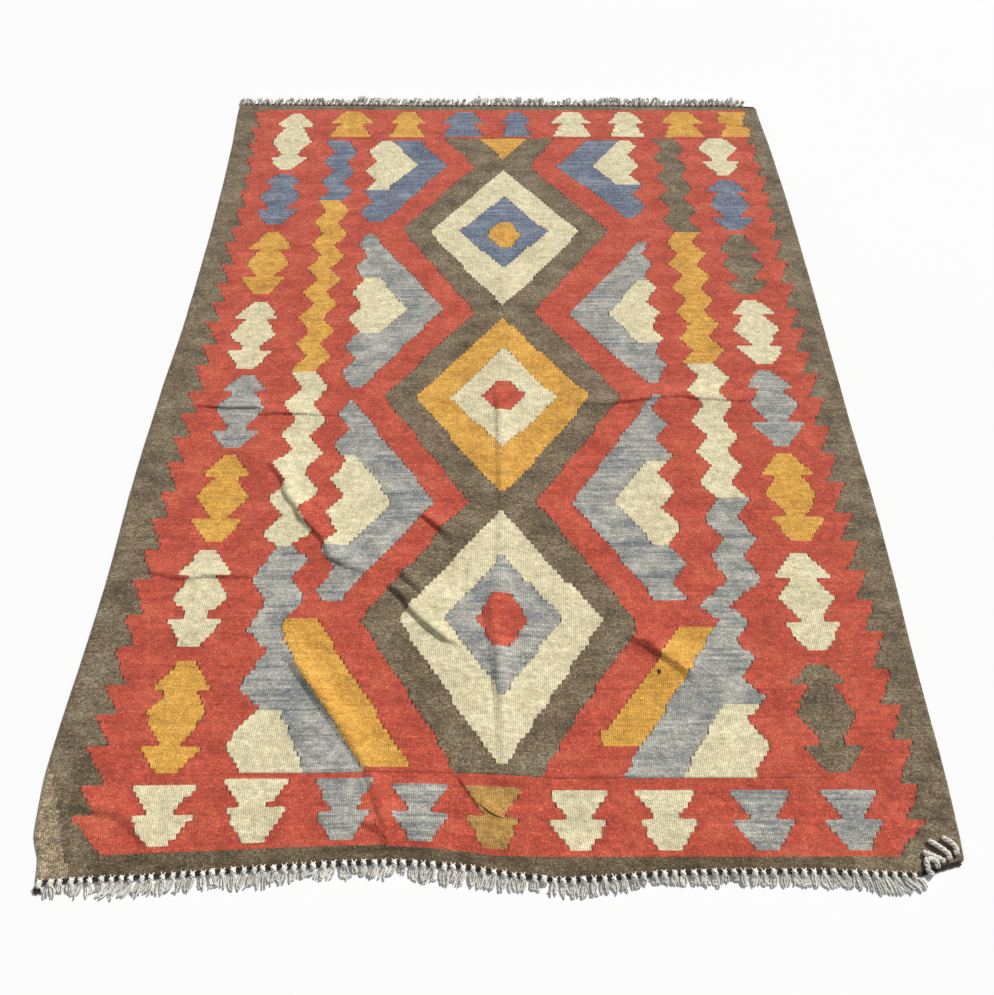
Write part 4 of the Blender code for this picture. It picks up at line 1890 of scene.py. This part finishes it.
def make_mends(cloth, sizes):
    """A darn in the near border and a stray knot on the right gold bar, in loose yarn on the cloth."""
    chance = random.Random(sizes.mend_draw)
    cords = Cords()
    radius = sizes.yarn_thickness / 2.0
    run = Vector((DARN["x1"] - DARN["x0"], DARN["y1"] - DARN["y0"], 0.0))
    across = Vector((-run.y, run.x, 0.0)).normalized()
    for stitch in range(DARN["stitches"]):
        share = stitch / (DARN["stitches"] - 1) - 0.5
        path = []
        for step in range(9):
            t = step / 8.0
            bulge = 0.55 + 0.45 * math.sin(math.pi * t)
            aside = share * DARN["breadth"] * bulge + vary(chance, "stitch_aside")
            place = (Vector((DARN["x0"], DARN["y0"], 0.0)) + run * t + across * aside) * MM
            hump = DARN["hump"] * MM * math.sin(math.pi * t) * (1.0 - share * share)
            path.append(Vector((place.x, place.y, height_on(cloth, place.x, place.y) + hump)))
        cords.add(path, [radius] * len(path), vary(chance, "stitch_tone"), 0)
    for _ in range(STRAY_KNOT["ends"]):
        heading = chance.uniform(0.0, 2.0 * math.pi)
        path = []
        for step in range(4):
            reach = STRAY_KNOT["reach"] * MM * step / 3.0
            x = STRAY_KNOT["x"] * MM + math.sin(heading) * reach
            y = STRAY_KNOT["y"] * MM + math.cos(heading) * reach
            path.append(Vector((x, y, height_on(cloth, x, y) + radius * (1.6 - step * 0.3))))
        cords.add(path, [radius * 0.8] * len(path), vary(chance, "stray_tone"), 1)
    return cords.made("darn", ("ochre", "dark_cord"))


# ---- floor, light and camera ----

CAMERA_PLACE = (0.0, -1.512, 1.600)
CAMERA_TILT = math.radians(36.652)
FOCAL_LENGTH = 35.964
SENSOR = 36.0
CLIP_NEAR = 0.05
CLIP_FAR = 100.0
KEY_COLOUR = (1.0, 0.975, 0.94)
FILL_COLOUR = (0.96, 0.98, 1.0)
# How far the floor's top lies under the frame's, and how much deeper its faint clouds are.
FLOOR_DROP = 0.0004
FLOOR_CLOUD = 0.985


def make_floor(rug):
    """A plain pale floor."""
    half = rug.studio.floor_size / 2.0
    mesh = bpy.data.meshes.new("floor")
    corners = [(-half, -half, 0.0), (half, -half, 0.0), (half, half, 0.0), (-half, half, 0.0)]
    mesh.from_pydata(corners, [], [(0, 1, 2, 3)])
    floor = add_object("floor", mesh)
    floor.location.z = -FLOOR_DROP
    material = bpy.data.materials.new("pale_floor")
    material.use_nodes = True
    tree = material.node_tree
    shader = tree.nodes["Principled BSDF"]
    place = node(tree, "ShaderNodeTexCoord").outputs["Object"]
    cloud = smooth_noise(tree, place, 1.5, 3.0, 0.5)
    pale = rug.studio.floor_colour
    colour = blend_colour(tree, cloud, opaque(pale), opaque([part * FLOOR_CLOUD for part in pale]))
    for name, value in {"Base Color": colour, "Roughness": 0.9, "Specular IOR Level": 0.1}.items():
        feed(tree, value, shader.inputs[name])
    mesh.materials.append(material)


def make_light(rug):
    """One wide soft key light from behind and to the right, over an even surrounding light."""
    key = bpy.data.lights.new("soft_key", "SUN")
    key.energy = rug.studio.key_strength
    key.angle = rug.studio.key_softness
    key.color = KEY_COLOUR
    light = add_object("soft_key", key)
    light.rotation_euler = Vector(rug.studio.key_direction).to_track_quat("Z", "Y").to_euler()
    world = bpy.data.worlds.new("studio")
    world.use_nodes = True
    background = world.node_tree.nodes["Background"]
    background.inputs["Color"].default_value = opaque(FILL_COLOUR)
    background.inputs["Strength"].default_value = rug.studio.fill_strength
    bpy.context.scene.world = world


def make_camera():
    """The camera at the place and with the lens that the rug is looked at from."""
    lens = bpy.data.cameras.new("camera")
    lens.lens = FOCAL_LENGTH
    lens.sensor_width = SENSOR
    lens.clip_start = CLIP_NEAR
    lens.clip_end = CLIP_FAR
    camera = add_object("camera", lens)
    camera.location = CAMERA_PLACE
    camera.rotation_euler = (CAMERA_TILT, 0.0, 0.0)
    bpy.context.scene.camera = camera
    bpy.context.scene.view_settings.view_transform = "Standard"


# ---- settings, operators and panel ----

def measure(name, text, value):
    return FloatProperty(name=name, description=text, default=value, unit="LENGTH")


def proportion(name, text, value):
    return FloatProperty(name=name, description=text, default=value, subtype="FACTOR")


def draw_seed(name, text, value):
    return IntProperty(name=name, description=text, default=value)


def plain_colour(name, text, value):
    return FloatVectorProperty(
        name=name, description=text, default=value, subtype="COLOR", size=3, min=0.0, max=1.0
    )


class KilimSizes(bpy.types.PropertyGroup):
    """Sizes of the weave's relief and of the fringe."""

    rib_height: measure("Rib height", "Relief of the ribs that the warps make", 0.0007)
    ply_height: measure("Ply height", "Relief of the plies in a cord", 0.0005)
    pucker_height: measure("Pucker height", "Height of the low uneven waves in the cloth", 0.0026)
    crease_depth: proportion("Crease depth", "Height of creases and folds, over the charted one", 1.15)
    selvedge_swell: measure("Selvedge swell", "How much thicker the selvedge is", 0.0008)
    knot_size: measure("Knot size", "Width of a fringe knot", 0.0086)
    strand_thickness: measure("Strand thickness", "Thickness of one warp end in the fringe", 0.0029)
    far_thickening: proportion("Far thickening", "Thickness of the far strands, over the near ones", 1.3)
    far_loft: measure("Far loft", "How high the loose tassels of the far fringe bulge off the floor", 0.009)
    ear_spread: measure("Warp spread", "How far beside a knot its outer warps leave the cloth", 0.0036)
    ear_length: measure("Warp length", "How far back from the edge the warps of a knot start", 0.0025)
    ear_rise: measure("Warp rise", "How far the warps of a knot bend upwards on their way to it", 0.0012)
    knot_distance: measure("Knot distance", "How far beyond the edge the middle of a knot lies", 0.0055)
    edge_cord: measure("Edge cord", "Thickness of one strand of the dark weft along the ends", 0.0030)
    tassel_width: measure("Tassel width", "Width of a tassel where it leaves its knot, twice over", 0.0110)
    tassel_strands: IntProperty(
        name="Tassel strands", description="How many strands a tassel has", default=5, min=2
    )
    folded_width: measure("Folded tassel width", "Width of a tassel turned back on the cloth", 0.0095)
    yarn_thickness: measure("Yarn thickness", "Thickness of the yarn in the darn", 0.0024)
    slit_draw: draw_seed("Slit draw", "Seed of the draws that open and close the slits between wools", 8)
    fringe_draw: draw_seed("Fringe draw", "Seed of the draws that vary the knots and tassels", 21)
    mend_draw: draw_seed("Mend draw", "Seed of the draws that vary the stitches and the stray knot", 5)


class KilimWools(bpy.types.PropertyGroup):
    """The main colour of each wool."""

    red: plain_colour("Red wool", "Madder red of the ground", (0.559, 0.088, 0.051))
    # The pale and dark brown are the paler and darker patches near the near end; along the near end the dark
    # brown is partly painted shade.
    brown: plain_colour("Brown wool", "Undyed dark wool of the borders and the ground", (0.203, 0.150, 0.090))
    pale_brown: plain_colour("Pale brown wool", "Paler lot of the brown wool", (0.355, 0.270, 0.168))
    dark_brown: plain_colour("Dark brown wool", "Darker lot of the brown wool", (0.146, 0.105, 0.058))
    cream: plain_colour("Cream wool", "Undyed light wool", (0.800, 0.722, 0.465))
    grey: plain_colour("Grey wool", "Light grey-blue wool of the bands", (0.362, 0.358, 0.322))
    # The slate wool is the grey wool painted as it looks in shade: deeper and bluer.
    slate: plain_colour("Slate wool", "Deeper lot of the grey-blue wool", (0.150, 0.187, 0.262))
    gold: plain_colour("Gold wool", "Gold dyed wool", (0.740, 0.381, 0.063))
    ochre: plain_colour("Ochre wool", "Duller gold wool of one near border motif", (0.472, 0.264, 0.073))
    cord: plain_colour("Fringe wool", "Undyed warp wool of the knots and tassels", (0.830, 0.805, 0.740))
    # The edge cord wool is near black: the dark weft's own colour, and painted shade of the gaps between the
    # knots.
    dark_cord: plain_colour("Edge cord wool", "Dark weft twined along the woven ends", (0.030, 0.023, 0.016))


class KilimStudio(bpy.types.PropertyGroup):
    """The plain floor and the soft light."""

    floor_size: measure("Floor size", "Side of the square floor", 24.0)
    floor_colour: plain_colour("Floor colour", "Plain pale floor", (0.950, 0.960, 0.980))
    key_strength: FloatProperty(
        name="Key strength", description="Strength of the soft key light", default=3.74
    )
    key_softness: FloatProperty(
        name="Key softness",
        description="How wide the key light seems from the rug",
        default=0.14,
        unit="ROTATION",
    )
    key_direction: FloatVectorProperty(
        name="Key direction",
        description="Where the key light stands, seen from the rug",
        default=(0.62, 0.62, 0.74),
        subtype="DIRECTION",
    )
    fill_strength: FloatProperty(
        name="Fill strength", description="Strength of the even light from all round", default=0.28
    )


class KilimRug(bpy.types.PropertyGroup):
    """All settings of the rug."""

    sizes: PointerProperty(type=KilimSizes, name="Sizes", description="Sizes of the weave and fringe")
    wools: PointerProperty(type=KilimWools, name="Wools", description="Colours of the wools")
    studio: PointerProperty(type=KilimStudio, name="Studio", description="Floor and light")


class KILIM_OT_weave_cloth(bpy.types.Operator):
    """Weave the cloth from its chart, in place of the plain cloth solid"""

    bl_idname = "kilim.weave_cloth"
    bl_label = "Weave the cloth"

    def execute(self, context):
        cloth = make_cloth(context.scene.kilim_rug.sizes)
        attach(cloth, "root")
        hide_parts("kilim_cloth")
        return {"FINISHED"}


class KILIM_OT_knot_fringes(bpy.types.Operator):
    """Knot the near and the far fringe, in place of the two plain combs"""

    bl_idname = "kilim.knot_fringes"
    bl_label = "Knot the fringes"

    def execute(self, context):
        sizes = context.scene.kilim_rug.sizes
        cloth = bpy.data.objects[CLOTH]
        context.view_layer.update()
        seed = sizes.fringe_draw
        near = make_fringe("near_tassels", -1, NEAR_TEETH_END, NEAR_TASSELS, cloth, sizes, seed)
        far = make_fringe("far_tassels", 1, FAR_TEETH_END, FAR_TASSELS, cloth, sizes, seed + 1)
        for fringe, comb in ((near, "near_fringe"), (far, "far_fringe")):
            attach(fringe, "root")
            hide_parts(comb)
        return {"FINISHED"}


class KILIM_OT_darn(bpy.types.Operator):
    """Add the stitches of the darn in the near border and the stray knot on the right gold bar"""

    bl_idname = "kilim.darn"
    bl_label = "Add the darn"

    def execute(self, context):
        mends = make_mends(bpy.data.objects[CLOTH], context.scene.kilim_rug.sizes)
        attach(mends, "root")
        return {"FINISHED"}


class KILIM_OT_set_stage(bpy.types.Operator):
    """Set up the plain floor, the soft light and the camera"""

    bl_idname = "kilim.set_stage"
    bl_label = "Set the stage"

    def execute(self, context):
        rug = context.scene.kilim_rug
        make_camera()
        make_floor(rug)
        make_light(rug)
        return {"FINISHED"}


class KILIM_PT_rug(bpy.types.Panel):
    """The rug's steps and settings in the sidebar"""

    bl_label = "Kilim rug"
    bl_idname = "KILIM_PT_rug"
    bl_space_type = "VIEW_3D"
    bl_region_type = "UI"
    bl_category = "Kilim"

    def draw(self, context):
        column = self.layout.column()
        for step in STEPS:
            column.operator(step.bl_idname)
        rug = context.scene.kilim_rug
        for group in (rug.sizes, rug.wools, rug.studio):
            box = self.layout.box()
            for name in group.__annotations__:
                box.prop(group, name)


STEPS = (KILIM_OT_set_stage, KILIM_OT_weave_cloth, KILIM_OT_knot_fringes, KILIM_OT_darn)
CLASSES = (KilimSizes, KilimWools, KilimStudio, KilimRug) + STEPS + (KILIM_PT_rug,)


def register():
    for entry in CLASSES:
        bpy.utils.register_class(entry)
    settings = PointerProperty(type=KilimRug, name="Kilim rug", description="Settings of the rug")
    bpy.types.Scene.kilim_rug = settings


def unregister():
    del bpy.types.Scene.kilim_rug
    for entry in reversed(CLASSES):
        bpy.utils.unregister_class(entry)


def main():
    register()
    bpy.ops.kilim.set_stage()
    bpy.ops.kilim.weave_cloth()
    bpy.ops.kilim.knot_fringes()
    bpy.ops.kilim.darn()


if __name__ == "__main__":
    main()
